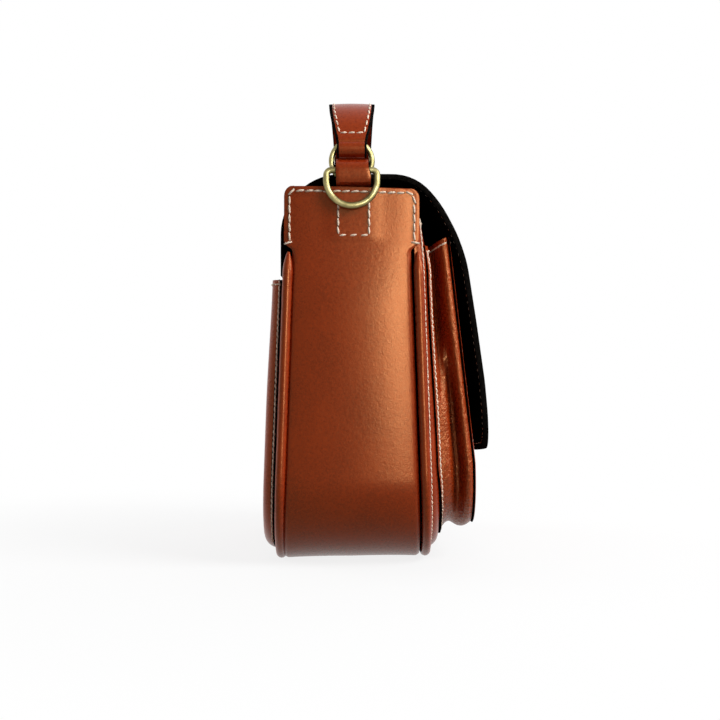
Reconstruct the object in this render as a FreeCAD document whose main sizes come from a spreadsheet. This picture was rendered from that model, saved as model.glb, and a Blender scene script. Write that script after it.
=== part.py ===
import FreeCAD, Part
import math
import operator
import os
import Sketcher
from types import SimpleNamespace
from FreeCAD import Placement, Rotation, Vector

# A saddle handbag standing on Z = 0. Its front faces -Y, its side walls face -X and +X.
# Driving sizes: millimetres, and degrees for the values named lean, turn or tilt.
driving_sizes = {
    "body_width": 248.0,
    "body_height": 217.0,
    "base_depth": 86.0,
    "top_depth": 71.0,
    "corner_radius": 50.0,
    "layer_gap": 0.1,
    "running_gap": 0.3,
    "gusset_leather": 1.6,
    "gusset_padding": 2.0,
    "lining_cloth": 0.8,
    "wing_overhang": 2.0,
    "wing_corner": 6.0,
    "wing_step": 5.0,
    "lining_drop": 3.0,
    "seam_drop": 36.0,
    "piping_diameter": 5.6,
    "piping_wall": 1.2,
    "piping_proud": 1.8,
    "panel_leather": 1.8,
    "front_bulge": 9.0,
    "front_round": 8.0,
    "front_drop": 16.0,
    "back_drop": 31.0,
    "back_pocket_drop": 52.0,
    "back_pocket_bulge": 9.8,
    "back_pocket_round": 8.0,
    "pocket_leather": 1.6,
    "pocket_inset": 16.0,
    "pocket_base": 23.0,
    "pocket_drop": 27.0,
    "pocket_corner": 36.0,
    "pocket_depth_top": 9.5,
    "pocket_depth_base": 20.0,
    "pocket_flange": 6.0,
    "valley_length": 6.0,
    "valley_sag": 1.2,
    "roll_sag": 3.0,
    "flap_inset": 11.0,
    "flap_rise": 10.0,
    "flap_leather": 1.8,
    "flap_lining": 1.1,
    "crown_clear": 3.0,
    "rear_bend": 35.0,
    "crease_gap": 0.6,
    "shoulder_radius": 30.0,
    "shoulder_turn": 45.0,
    "breast_radius": 80.0,
    "flap_ease": 2.8,
    "flap_stand": 1.35,
    "flap_low": 62.5,
    "flap_corner": 28.0,
    "flap_sweep": 900.0,
    "tab_width": 19.0,
    "tab_leather": 1.5,
    "tab_tail": 28.5,
    "tab_top": 16.6,
    "tab_outward": 0.9,
    "ring_wire": 3.2,
    "ring_eye": 20.0,
    "ring_lift": 4.5,
    "ring_swing": 10.0,
    "strap_wire": 3.8,
    "strap_eye": 25.0,
    "strap_drop": 20.7,
    "strap_bar_lift": 10.2,
    "strap_corner": 3.0,
    "strap_lean": 7.0,
    "handle_leather": 1.6,
    "handle_under": 1.4,
    "handle_hollow": 3.6,
    "handle_end_width": 17.0,
    "handle_width": 27.0,
    "handle_lean": 26.0,
    "handle_straight": 8.2,
    "handle_bend": 28.0,
    "handle_arch": 900.0,
    "handle_taper": 24.0,
    "handle_pivot_drop": 1.6,
    "handle_loop_drop": 3.5,
    "snap_height": 88.0,
    "snap_diameter": 18.0,
    "snap_disc": 1.6,
    "snap_boss": 6.0,
    "snap_reach": 1.6,
    "snap_gap": 0.7,
    "snap_shank": 4.0,
    "washer_diameter": 14.0,
    "washer_thickness": 0.6,
}


class Size:
    # A length that knows both its number and its expression in the sheet.
    def __init__(self, text, value):
        self.text = text
        self.value = value

    def __add__(self, other):
        return combined(self, "+", other)

    def __sub__(self, other):
        return combined(self, "-", other)

    def __mul__(self, other):
        return combined(self, "*", other)

    def __truediv__(self, other):
        return combined(self, "/", other)

    def __neg__(self):
        return Size("(-1 * %s)" % self.text, -self.value)

    def __radd__(self, other):
        return combined(fixed(other), "+", self)

    def __rsub__(self, other):
        return combined(fixed(other), "-", self)

    def __rmul__(self, other):
        return combined(fixed(other), "*", self)

    def __rtruediv__(self, other):
        return combined(fixed(other), "/", self)


def fixed(number):
    return Size(repr(float(number)), float(number))


def combined(left, sign, right):
    if not isinstance(right, Size):
        right = fixed(right)
    work = {"+": operator.add, "-": operator.sub, "*": operator.mul, "/": operator.truediv}[sign]
    return Size("(%s %s %s)" % (left.text, sign, right.text), work(left.value, right.value))


def sine(angle):
    return Size("sin(%s * 1 deg)" % angle.text, math.sin(math.radians(angle.value)))


def cosine(angle):
    return Size("cos(%s * 1 deg)" % angle.text, math.cos(math.radians(angle.value)))


def root(square):
    return Size("sqrt(%s)" % square.text, math.sqrt(square.value))


doc = FreeCAD.newDocument("saddle_handbag")
sheet = doc.addObject("Spreadsheet::Sheet", "Sizes")
for row, (name, number) in enumerate(driving_sizes.items(), 1):
    sheet.set("A%d" % row, name)
    sheet.set("B%d" % row, str(number))
    sheet.setAlias("B%d" % row, name)
doc.recompute()
size = SimpleNamespace(**{name: Size("Sizes." + name, sheet.get(name)) for name in driving_sizes})
zero = fixed(0)
pieces = {}


def bind(feature, path, length):
    if "Sizes." in length.text:
        feature.setExpression(path, length.text)


def new_body(label):
    body = doc.addObject("PartDesign::Body", label)
    body.Label = label
    pieces[label] = body
    return body


def new_sketch(body, name, role, offset=zero):
    sketch = body.newObject("Sketcher::SketchObject", name)
    plane = [item for item in body.Origin.OriginFeatures if item.Role == role][0]
    sketch.AttachmentSupport = [(plane, "")]
    sketch.MapMode = "FlatFace"
    sketch.AttachmentOffset = Placement(Vector(0, 0, offset.value), Rotation())
    bind(sketch, "AttachmentOffset.Base.z", offset)
    return sketch


def arc_centre(start, end, radius, turn):
    # The centre lies left of the way from start to end when the arc turns left.
    along = end - start
    across = Vector(-along.y, along.x, 0)
    across.normalize()
    rise = math.sqrt(max(radius * radius - along.Length * along.Length / 4, 0))
    return (start + end) * 0.5 + across * (rise * turn)


def segment(start, end, arriving):
    # One side of an outline, with the end numbers in the order of travel.
    if len(arriving) == 2:
        return Part.LineSegment(start, end), (1, 2)
    radius, turn = arriving[2].value, arriving[3]
    centre = arc_centre(start, end, radius, turn)
    circle = Part.Circle(centre, Vector(0, 0, 1), radius)
    first = math.atan2(start.y - centre.y, start.x - centre.x)
    last = math.atan2(end.y - centre.y, end.x - centre.x)
    if turn > 0:
        return Part.ArcOfCircle(circle, first, last), (1, 2)
    return Part.ArcOfCircle(circle, last, first), (2, 1)


def draw(sketch, corners, closed=True):
    # A corner is (across, up), or (across, up, radius, turn) where an arc arrives at it.
    points = [Vector(corner[0].value, corner[1].value, 0) for corner in corners]
    sides = len(corners) if closed else len(corners) - 1
    held = []
    rules = []
    ends = []
    numbers = []
    for index in range(sides):
        after = (index + 1) % len(corners)
        shape, order = segment(points[index], points[after], corners[after])
        number = sketch.addGeometry(shape, False)
        numbers.append(number)
        ends.append(order)
        if len(corners[after]) > 2:
            held.append((Sketcher.Constraint("Radius", number, corners[after][2].value), corners[after][2]))
    for index in range(sides):
        after = (index + 1) % sides
        if closed or index < sides - 1:
            rules.append(Sketcher.Constraint("Coincident", numbers[index], ends[index][1],
                                             numbers[after], ends[after][0]))
    for index, corner in enumerate(corners):
        side = min(index, sides - 1)
        end = ends[side][0] if index < sides else ends[side][1]
        held.append((Sketcher.Constraint("DistanceX", numbers[side], end, corner[0].value), corner[0]))
        held.append((Sketcher.Constraint("DistanceY", numbers[side], end, corner[1].value), corner[1]))
    sketch.addConstraint(rules)
    for rule, length in held:
        number = sketch.addConstraint(rule)
        bind(sketch, "Constraints[%d]" % number, length)


def draw_circle(sketch, across, up, radius):
    number = sketch.addGeometry(Part.Circle(Vector(across.value, up.value, 0), Vector(0, 0, 1), radius.value))
    for rule, length in (
        (Sketcher.Constraint("DistanceX", number, 3, across.value), across),
        (Sketcher.Constraint("DistanceY", number, 3, up.value), up),
        (Sketcher.Constraint("Radius", number, radius.value), radius),
    ):
        bind(sketch, "Constraints[%d]" % sketch.addConstraint(rule), length)


def bow_radius(chord, sag):
    return (chord * chord / 4 + sag * sag) / (2 * sag)


def sweep_along(body, section, path):
    doc.recompute()
    sweep = body.newObject("PartDesign::AdditivePipe", "Sweep")
    sweep.Profile = section
    sweep.Spine = path
    doc.recompute()


def pad(body, sketch, length, both_ways=False):
    feature = body.newObject("PartDesign::Pad", "Pad")
    feature.Profile = sketch
    feature.SideType = "Symmetric" if both_ways else "One side"
    feature.Length = length.value
    bind(feature, "Length", length)
    doc.recompute()
    return feature


def cut_through(body, sketch):
    before = body.Shape.Volume
    feature = body.newObject("PartDesign::Pocket", "Trim")
    feature.Profile = sketch
    feature.SideType = "Symmetric"
    feature.Type = "ThroughAll"
    doc.recompute()
    if not body.Shape.Volume < before:
        raise ValueError("a cut in %s removed nothing" % body.Label)
    return feature


# The side view: both seam planes lean in towards the top by the same slope.
slope = (size.base_depth - size.top_depth) / (2 * size.body_height)
lean_turn = math.degrees(math.atan(slope.value))
half_width = size.body_width / 2
piping_radius = size.piping_diameter / 2
over = size.base_depth

# Heights that keep their distance from the top of the side walls.
seam_top = size.body_height - size.seam_drop
front_top = size.body_height - size.front_drop
back_top = size.body_height - size.back_drop
back_pocket_top = size.body_height - size.back_pocket_drop
pocket_top = size.body_height - size.pocket_drop
flap_top = size.body_height + size.flap_rise


def seam_at(height):
    return size.base_depth / 2 - slope * height


def lean_forward():
    # Stands a front piece on the front seam: local -Y is outwards, local Z runs up the leaning panel.
    return Placement(Vector(0, -size.base_depth.value / 2, 0), Rotation(Vector(1, 0, 0), -lean_turn))


def lean_back():
    turned = Rotation(Vector(0, 0, 1), 180) * Rotation(Vector(1, 0, 0), -lean_turn)
    return Placement(Vector(0, size.base_depth.value / 2, 0), turned)


def u_band(sketch, outside, thickness, top):
    # A strip down one side wall, under the base and up the other side wall.
    wide = half_width - outside
    low = outside
    outer = size.corner_radius - outside
    inner = outer - thickness
    inside = wide - thickness
    draw(sketch, [
        (-wide, top),
        (-wide, low + outer),
        (outer - wide, low, outer, 1),
        (wide - outer, low),
        (wide, low + outer, outer, 1),
        (wide, top),
        (inside, top),
        (inside, low + outer),
        (wide - outer, low + thickness, inner, -1),
        (outer - wide, low + thickness),
        (-inside, low + outer, inner, -1),
        (-inside, top),
    ])


def u_plate(sketch, wide, low, top, radius):
    draw(sketch, [
        (-wide, top),
        (-wide, low + radius),
        (radius - wide, low, radius, 1),
        (wide - radius, low),
        (wide, low + radius, radius, 1),
        (wide, top),
    ])


def side_strip(label, outside, thickness, top, inset):
    # A layer of the side walls and base, trimmed to the leaning seams.
    body = new_body(label)
    ribbon = new_sketch(body, "ribbon", "XZ_Plane")
    u_band(ribbon, outside, thickness, top)
    pad(body, ribbon, size.base_depth, True)
    trim = new_sketch(body, "seam_trim", "YZ_Plane")
    for hand in (1, -1):
        draw(trim, [
            (hand * (seam_at(zero) - inset), zero),
            (hand * (seam_at(top) - inset), top),
            (hand * over, top),
            (hand * over, zero),
        ])
    cut_through(body, trim)


def make_gusset():
    # The outer leather: between the pipings up to the seam tops, then a free wing with rounded corners.
    body = new_body("gusset")
    ribbon = new_sketch(body, "ribbon", "XZ_Plane")
    u_band(ribbon, zero, size.gusset_leather, size.body_height)
    pad(body, ribbon, size.base_depth, True)
    inset = piping_radius + size.layer_gap
    step = seam_top + size.running_gap
    wing = seam_at(seam_top) + size.wing_overhang
    trim = new_sketch(body, "seam_trim", "YZ_Plane")
    for hand in (1, -1):
        draw(trim, [
            (hand * (seam_at(zero) - inset), zero),
            (hand * (seam_at(step) - inset), step),
            (hand * wing, step + size.wing_step),
            (hand * wing, size.body_height - size.wing_corner),
            (hand * (wing - size.wing_corner), size.body_height, size.wing_corner, hand),
            (hand * over, size.body_height),
            (hand * over, zero),
        ])
    cut_through(body, trim)


make_gusset()
padding_outside = size.gusset_leather + size.layer_gap
lining_outside = padding_outside + size.gusset_padding + size.layer_gap
layer_inset = piping_radius + size.piping_wall
padding_top = size.body_height - size.tab_tail - size.running_gap
side_strip("gusset_padding", padding_outside, size.gusset_padding, padding_top, layer_inset)
lining_top = size.body_height - size.lining_drop
side_strip("gusset_lining", lining_outside, size.lining_cloth, lining_top, layer_inset)

# The pipings follow the seams: proud of the side walls, level with the base underneath.
piping_wide = half_width + size.piping_proud - piping_radius
piping_corner = size.corner_radius + size.piping_proud - piping_radius
piping_low = piping_radius + size.layer_gap


def make_piping(label, placement, outer, inner=None):
    body = new_body(label)
    path = new_sketch(body, "path", "XZ_Plane")
    draw(path, [
        (-piping_wide, seam_top),
        (-piping_wide, piping_low + piping_corner),
        (piping_corner - piping_wide, piping_low, piping_corner, 1),
        (piping_wide - piping_corner, piping_low),
        (piping_wide, piping_low + piping_corner, piping_corner, 1),
        (piping_wide, seam_top),
    ], closed=False)
    section = new_sketch(body, "section", "XY_Plane", seam_top)
    draw_circle(section, -piping_wide, zero, outer)
    if inner:
        draw_circle(section, -piping_wide, zero, inner)
    sweep_along(body, section, path)
    body.Placement = placement


piping_bore = piping_radius - size.piping_wall
for label, placement in (("front_piping", lean_forward()), ("rear_piping", lean_back())):
    make_piping(label, placement, piping_radius, piping_bore)
    make_piping(label + "_cord", placement, piping_bore - size.layer_gap / 2)

# Panels lie inside the pipings. Each has rounded sides and base and an open top.
panel_wide = piping_wide - piping_radius - size.layer_gap
panel_low = piping_low + piping_radius + size.layer_gap
panel_corner = piping_corner - piping_radius - size.layer_gap


def tray(label, placement, shrink, start, stand, wall, edge_round, top):
    # A panel that stands out from the seam plane, hollow behind, from start to stand outwards.
    body = new_body(label)
    outline = new_sketch(body, "outline", "XZ_Plane", start)
    u_plate(outline, panel_wide - shrink, panel_low + shrink, top, panel_corner - shrink)
    block = pad(body, outline, stand - start)
    front = -stand.value
    rim = []
    for number, edge in enumerate(block.Shape.Edges, 1):
        on_face = all(abs(point.Y - front) < 1e-6 for point in edge.Vertexes)
        on_top = all(abs(point.Z - top.value) < 1e-6 for point in edge.Vertexes)
        if on_face and not on_top:
            rim.append("Edge%d" % number)
    rounded = body.newObject("PartDesign::Fillet", "Rounded")
    rounded.Base = (block, rim)
    rounded.Radius = edge_round.value
    bind(rounded, "Radius", edge_round)
    doc.recompute()
    open_faces = []
    for number, face in enumerate(rounded.Shape.Faces, 1):
        behind = all(abs(point.Y + start.value) < 1e-6 for point in face.Vertexes)
        above = all(abs(point.Z - top.value) < 1e-6 for point in face.Vertexes)
        if behind or above:
            open_faces.append("Face%d" % number)
    shell = body.newObject("PartDesign::Thickness", "Shell")
    shell.Base = (rounded, open_faces)
    shell.Value = wall.value
    shell.Reversed = True
    bind(shell, "Value", wall)
    doc.recompute()
    body.Placement = placement


def plate(label, placement, shrink, start, thickness, top):
    body = new_body(label)
    outline = new_sketch(body, "outline", "XZ_Plane", start)
    u_plate(outline, panel_wide - shrink, panel_low + shrink, top, panel_corner - shrink)
    pad(body, outline, thickness)
    body.Placement = placement


half_panel = size.panel_leather / 2
front_skin = size.panel_leather + size.layer_gap
tray("front_panel", lean_forward(), zero, -half_panel, size.front_bulge, size.panel_leather,
     size.front_round, front_top)
tray("front_lining", lean_forward(), front_skin, -half_panel, size.front_bulge - front_skin,
     size.lining_cloth, size.front_round - front_skin, front_top - size.lining_drop)
plate("back_panel", lean_back(), zero, -half_panel, size.panel_leather, back_top)
plate("back_lining", lean_back(), front_skin, -half_panel - size.layer_gap - size.lining_cloth,
      size.lining_cloth, back_top - size.lining_drop)
tray("back_pocket", lean_back(), size.layer_gap, half_panel + size.layer_gap, size.back_pocket_bulge,
     size.pocket_leather, size.back_pocket_round, back_pocket_top)

# The front pocket stands on the front panel: a bellows gusset round three sides and a stiff front.
pocket_wide = half_width - size.pocket_inset
pocket_seat = size.front_bulge + size.layer_gap
pocket_bend = size.pocket_base + size.pocket_corner


def pocket_leg(out, stand):
    # A point of the left leg's section: out is away from the pocket, stand is away from the front panel.
    return -pocket_wide - out, -stand


def make_pocket_gusset():
    # The bellows: a flange sewn to the front panel, a valley, then an outward roll up to the pocket front.
    body = new_body("front_pocket_gusset")
    path = new_sketch(body, "path", "XZ_Plane", pocket_seat)
    draw(path, [
        (-pocket_wide, pocket_top),
        (-pocket_wide, pocket_bend),
        (size.pocket_corner - pocket_wide, size.pocket_base, size.pocket_corner, 1),
        (pocket_wide - size.pocket_corner, size.pocket_base),
        (pocket_wide, pocket_bend, size.pocket_corner, 1),
        (pocket_wide, pocket_top),
    ], closed=False)
    wall = size.pocket_leather
    flange_face = pocket_seat + wall
    valley_end = pocket_seat + size.valley_length
    roll_end = pocket_seat + size.pocket_depth_base
    valley_radius = bow_radius(valley_end - flange_face, size.valley_sag)
    roll_radius = bow_radius(roll_end - valley_end, size.roll_sag)
    section = new_sketch(body, "section", "XY_Plane", pocket_top)
    draw(section, [
        pocket_leg(size.pocket_flange, pocket_seat),
        pocket_leg(size.pocket_flange, flange_face),
        pocket_leg(zero, flange_face),
        pocket_leg(zero, valley_end) + (valley_radius, -1),
        pocket_leg(zero, roll_end) + (roll_radius, 1),
        pocket_leg(-wall, roll_end),
        pocket_leg(-wall, valley_end) + (roll_radius, -1),
        pocket_leg(-wall, flange_face) + (valley_radius, 1),
        pocket_leg(-wall, pocket_seat),
    ])
    sweep_along(body, section, path)
    trim = new_sketch(body, "front_trim", "YZ_Plane")
    draw(trim, [
        (-pocket_seat - size.pocket_depth_top, pocket_top),
        (-roll_end, pocket_bend),
        (-roll_end - over, pocket_bend),
        (-roll_end - over, pocket_top),
    ])
    cut_through(body, trim)
    body.Placement = lean_forward()


make_pocket_gusset()

# The pocket front leans back above the round corners and stands parallel to the front panel below them.
panel_near_top = pocket_seat + size.pocket_depth_top + size.layer_gap
panel_near_base = pocket_seat + size.pocket_depth_base + size.layer_gap
pocket_slope = (panel_near_base - panel_near_top) / (pocket_top - pocket_bend)


def make_pocket_front(hole_up):
    body = new_body("front_pocket_panel")
    profile = new_sketch(body, "profile", "YZ_Plane")
    leather = size.panel_leather
    draw(profile, [
        (-panel_near_top, pocket_top),
        (-panel_near_top - leather, pocket_top),
        (-panel_near_base - leather, pocket_bend),
        (-panel_near_base - leather, zero),
        (-panel_near_base, zero),
        (-panel_near_base, pocket_bend),
    ])
    pad(body, profile, size.body_width, True)
    trim = new_sketch(body, "outline_trim", "XZ_Plane")
    wide = pocket_wide + size.roll_sag
    low = size.pocket_base - size.roll_sag
    radius = size.pocket_corner + size.roll_sag
    draw(trim, [
        (-wide, pocket_top),
        (-wide, low + radius),
        (radius - wide, low, radius, 1),
        (wide - radius, low),
        (wide, low + radius, radius, 1),
        (wide, pocket_top),
        (size.body_width, pocket_top),
        (size.body_width, -low),
        (-size.body_width, -low),
        (-size.body_width, pocket_top),
    ])
    cut_through(body, trim)
    hole = new_sketch(body, "shank_hole", "XZ_Plane")
    draw_circle(hole, zero, hole_up, size.snap_shank / 2 + size.running_gap)
    cut_through(body, hole)
    body.Placement = lean_forward()


# The flap: a crown fixed to the back and over the mouth, then a front that lifts about a crease.
flap_half = half_width - size.flap_inset
flap_width = flap_half * 2
flap_skin = size.flap_leather + size.layer_gap
flap_whole = flap_skin + size.flap_lining
crown_end = back_pocket_top + size.crown_clear
crown_back = seam_at(crown_end) + half_panel + size.layer_gap + flap_whole

# The front clears the pocket's top by the ease and stands further off lower down.
pocket_face = panel_near_top + size.panel_leather
flap_tangent = slope + pocket_slope + size.flap_stand / (pocket_top - size.snap_height)
flap_cosine = 1 / root(1 + flap_tangent * flap_tangent)
flap_sine = flap_tangent * flap_cosine
breast_more = size.breast_radius - size.shoulder_radius
shoulder_up = flap_top - size.shoulder_radius
breast_up = shoulder_up - breast_more * cosine(size.shoulder_turn)
breast_rise = pocket_top - breast_up
breast_inner = size.breast_radius - flap_whole
breast_reach = root(breast_inner * breast_inner - breast_rise * breast_rise)
breast_forward = breast_reach - seam_at(pocket_top) - pocket_face - size.flap_ease
crease_start = breast_more * sine(size.shoulder_turn) - breast_forward
crease_stop = crease_start - size.crease_gap


def make_crown(label, outside, thickness):
    body = new_body(label)
    profile = new_sketch(body, "profile", "YZ_Plane")
    back = crown_back - outside
    top = flap_top - outside
    bend = size.rear_bend - outside
    draw(profile, [
        (back, crown_end),
        (back, top - bend),
        (back - bend, top, bend, 1),
        (-crease_stop, top),
        (-crease_stop, top - thickness),
        (back - bend, top - thickness),
        (back - thickness, top - bend, bend - thickness, -1),
        (back - thickness, crown_end),
    ])
    pad(body, profile, flap_width, True)


make_crown("flap_crown", zero, size.flap_leather)
make_crown("crown_lining", flap_skin, size.flap_lining)

flap_tail = size.flap_low - size.snap_diameter


def shoulder_point(inside):
    radius = size.shoulder_radius - inside
    return (-crease_start - radius * sine(size.shoulder_turn),
            shoulder_up + radius * cosine(size.shoulder_turn))


def breast_point(inside):
    radius = size.breast_radius - inside
    return breast_forward - radius * flap_cosine, breast_up + radius * flap_sine


def front_at(inside, height):
    # How far forward a layer of the flap's straight front lies at a height.
    forward, up = breast_point(inside)
    return forward - (up - height) * flap_tangent


def flap_outline(body):
    # The rounded saddle edge: straight sides, round corners and one long sweep along the bottom.
    trim = new_sketch(body, "edge_trim", "XZ_Plane")
    corner = size.flap_corner
    sweep = size.flap_sweep
    across = (flap_half - corner) / (sweep - corner)
    upright = root(1 - across * across)
    join_out = sweep * across
    join_up = size.flap_low + sweep * (1 - upright)
    side_up = join_up + corner * upright
    draw(trim, [
        (flap_half, side_up),
        (join_out, join_up, corner, -1),
        (-join_out, join_up, sweep, -1),
        (-flap_half, side_up, corner, -1),
        (-size.body_width, side_up),
        (-size.body_width, zero),
        (size.body_width, zero),
        (size.body_width, side_up),
    ])
    cut_through(body, trim)


def make_flap_layer(label, outside, thickness):
    body = new_body(label)
    profile = new_sketch(body, "profile", "YZ_Plane")
    inside = outside + thickness
    draw(profile, [
        (-crease_start, flap_top - outside),
        shoulder_point(outside) + (size.shoulder_radius - outside, 1),
        breast_point(outside) + (size.breast_radius - outside, 1),
        (front_at(outside, flap_tail), flap_tail),
        (front_at(inside, flap_tail), flap_tail),
        breast_point(inside),
        shoulder_point(inside) + (size.breast_radius - inside, -1),
        (-crease_start, flap_top - inside, size.shoulder_radius - inside, -1),
    ])
    pad(body, profile, flap_width, True)
    flap_outline(body)
    return body


flap_leather_body = make_flap_layer("flap_leather_blank", zero, size.flap_leather)
flap_lining_body = make_flap_layer("flap_lining_blank", flap_skin, size.flap_lining)


# The magnetic snap: a stud under the flap and a socket on the pocket front.
def flap_seat(inside):
    # A place at a depth under the flap's front, looking back along the flap's own normal.
    turn = Rotation(Vector(0, 0, 1), Vector(0, flap_cosine.value, -flap_sine.value))
    outside = Vector(0, front_at(zero, size.snap_height).value, size.snap_height.value)
    return Placement(outside, turn).multiply(Placement(Vector(0, 0, inside.value), Rotation()))


def turned_piece(label, corners):
    # A body of revolution about its own Z axis, drawn as half its section.
    body = new_body(label)
    half = new_sketch(body, "half_section", "XZ_Plane")
    draw(half, corners)
    doc.recompute()
    turn = body.newObject("PartDesign::Revolution", "Turned")
    turn.Profile = half
    turn.ReferenceAxis = (half, ["V_Axis"])
    turn.Angle = 360
    doc.recompute()
    return body


def cylinder(name, radius, height, placement):
    tool = doc.addObject("Part::Cylinder", name)
    tool.Radius = radius.value
    tool.Height = height.value
    bind(tool, "Radius", radius)
    bind(tool, "Height", height)
    tool.Placement = placement
    return tool


def bored(label, blank, tool):
    result = doc.addObject("Part::Cut", label)
    result.Label = label
    result.Base = blank
    result.Tool = tool
    del pieces[blank.Label]
    pieces[label] = result


washer_room = size.washer_thickness + size.layer_gap
washer_radius = size.washer_diameter / 2
shank_radius = size.snap_shank / 2
snap_radius = size.snap_diameter / 2
boss_radius = size.snap_boss / 2
bored("flap_front", flap_leather_body,
      cylinder("washer_recess", washer_radius + size.layer_gap, washer_room + size.layer_gap,
               flap_seat(size.flap_leather - washer_room)))
bored("flap_lining", flap_lining_body,
      cylinder("stud_hole", shank_radius + size.layer_gap, flap_whole * 2, flap_seat(zero)))

stud = turned_piece("snap_stud", [
    (zero, -size.flap_lining - size.layer_gap),
    (shank_radius, -size.flap_lining - size.layer_gap),
    (shank_radius, size.layer_gap),
    (snap_radius, size.layer_gap),
    (snap_radius, size.snap_disc),
    (boss_radius, size.snap_disc),
    (boss_radius, size.snap_disc + size.snap_reach),
    (zero, size.snap_disc + size.snap_reach),
])
stud.Placement = flap_seat(flap_whole)
stud_washer = turned_piece("snap_stud_washer", [
    (zero, -size.washer_thickness),
    (washer_radius, -size.washer_thickness),
    (washer_radius, zero),
    (zero, zero),
])
stud_washer.Placement = flap_seat(size.flap_leather)

# The socket stands where the stud's axis meets the pocket front, in the room that the stud leaves.
seam_cosine = 1 / root(1 + slope * slope)
seam_sine = slope * seam_cosine
stud_forward = front_at(zero, size.snap_height) + size.base_depth / 2
stud_out = stud_forward * seam_cosine - size.snap_height * seam_sine
stud_up = stud_forward * seam_sine + size.snap_height * seam_cosine
axis_in = flap_cosine * seam_cosine + flap_sine * seam_sine
axis_down = flap_sine * seam_cosine - flap_cosine * seam_sine
axis_room = -(stud_out + pocket_face + (pocket_top - stud_up) * pocket_slope)
axis_length = axis_room / (axis_in + axis_down * pocket_slope)
socket_up = stud_up - axis_length * axis_down
socket_height = axis_length - flap_whole - size.snap_disc - size.snap_gap
socket_bore = boss_radius + size.snap_gap
make_pocket_front(socket_up)
socket = turned_piece("snap_socket", [
    (zero, -size.panel_leather),
    (shank_radius, -size.panel_leather),
    (shank_radius, size.layer_gap),
    (snap_radius, size.layer_gap),
    (snap_radius, socket_height),
    (socket_bore, socket_height),
    (socket_bore, socket_height - size.snap_reach),
    (zero, socket_height - size.snap_reach),
])
socket_washer = turned_piece("snap_socket_washer", [
    (zero, -size.washer_thickness),
    (washer_radius, -size.washer_thickness),
    (washer_radius, zero),
    (zero, zero),
])
pocket_turn = math.degrees(math.atan(pocket_slope.value))
pocket_out = Rotation(Vector(1, 0, 0), 90 - pocket_turn)
pocket_forward = panel_near_top + (pocket_top - socket_up) * pocket_slope
socket_seat = Vector(0, -(pocket_forward + size.panel_leather).value, socket_up.value)
washer_seat = Vector(0, (size.layer_gap - pocket_forward).value, socket_up.value)
socket.Placement = lean_forward().multiply(Placement(socket_seat, pocket_out))
socket_washer.Placement = lean_forward().multiply(Placement(washer_seat, pocket_out))

# The ring tabs: a strap folded over both rings, its tail sewn between the side wall and its lining.
tail_middle = half_width - padding_outside - size.gusset_padding / 2
wire_radius = size.ring_wire / 2
ring_radius = size.ring_eye / 2 + wire_radius
strap_radius = size.strap_wire / 2
swing = sine(size.ring_swing)
tab_half = size.tab_width / 2
ring_rise_in_tab = ring_radius - root(ring_radius * ring_radius - tab_half * tab_half)
bar_above_ring = size.strap_bar_lift - size.ring_lift
bar_spacing = wire_radius + strap_radius + bar_above_ring * swing + size.running_gap
hollow_width = strap_radius + bar_spacing + wire_radius + ring_rise_in_tab * swing + size.running_gap * 2
hollow_half = hollow_width / 2
loop_half = hollow_half + size.tab_leather
loop_middle = tail_middle + size.tab_outward
strap_bar_out = loop_middle + hollow_half - size.running_gap - strap_radius
ring_out = strap_bar_out - bar_spacing
tab_top = size.body_height + size.tab_top
loop_centre = tab_top - loop_half
bar_up = size.body_height + size.strap_bar_lift
ring_bottom = size.body_height + size.ring_lift
ring_centre = ring_bottom + ring_radius
ring_top = ring_centre + ring_radius


def make_tab(label, hand):
    body = new_body(label)
    section = new_sketch(body, "section", "XZ_Plane")
    turn = -hand
    tail_half = size.gusset_padding / 2
    neck = size.body_height + size.layer_gap * 2
    belly = neck + size.tab_leather * 2
    floor = neck + size.tab_leather
    draw(section, [
        (hand * (tail_middle + tail_half), size.body_height - size.tab_tail),
        (hand * (tail_middle + tail_half), neck),
        (hand * (loop_middle + loop_half), belly),
        (hand * (loop_middle + loop_half), loop_centre),
        (hand * loop_middle, tab_top, loop_half, -turn),
        (hand * (loop_middle - loop_half), loop_centre, loop_half, -turn),
        (hand * (loop_middle - loop_half), belly),
        (hand * (tail_middle - tail_half), neck),
        (hand * (tail_middle - tail_half), size.body_height - size.tab_tail),
    ])
    draw(section, [
        (hand * (loop_middle + hollow_half), belly + size.layer_gap),
        (hand * (loop_middle + hollow_half), loop_centre),
        (hand * loop_middle, loop_centre + hollow_half, hollow_half, -turn),
        (hand * (loop_middle - hollow_half), loop_centre, hollow_half, -turn),
        (hand * (loop_middle - hollow_half), belly + size.layer_gap),
        (hand * tail_middle, floor),
    ])
    pad(body, section, size.tab_width, True)


def make_handle_ring(label, hand):
    ring = doc.addObject("Part::Torus", label)
    ring.Label = label
    ring.Radius1 = ring_radius.value
    ring.Radius2 = wire_radius.value
    bind(ring, "Radius1", ring_radius)
    bind(ring, "Radius2", wire_radius)
    middle = Vector(hand * ring_out.value, 0, ring_centre.value)
    ring.Placement = Placement(middle, Rotation(Vector(0, 1, 0), 90))
    pieces[label] = ring


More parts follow.
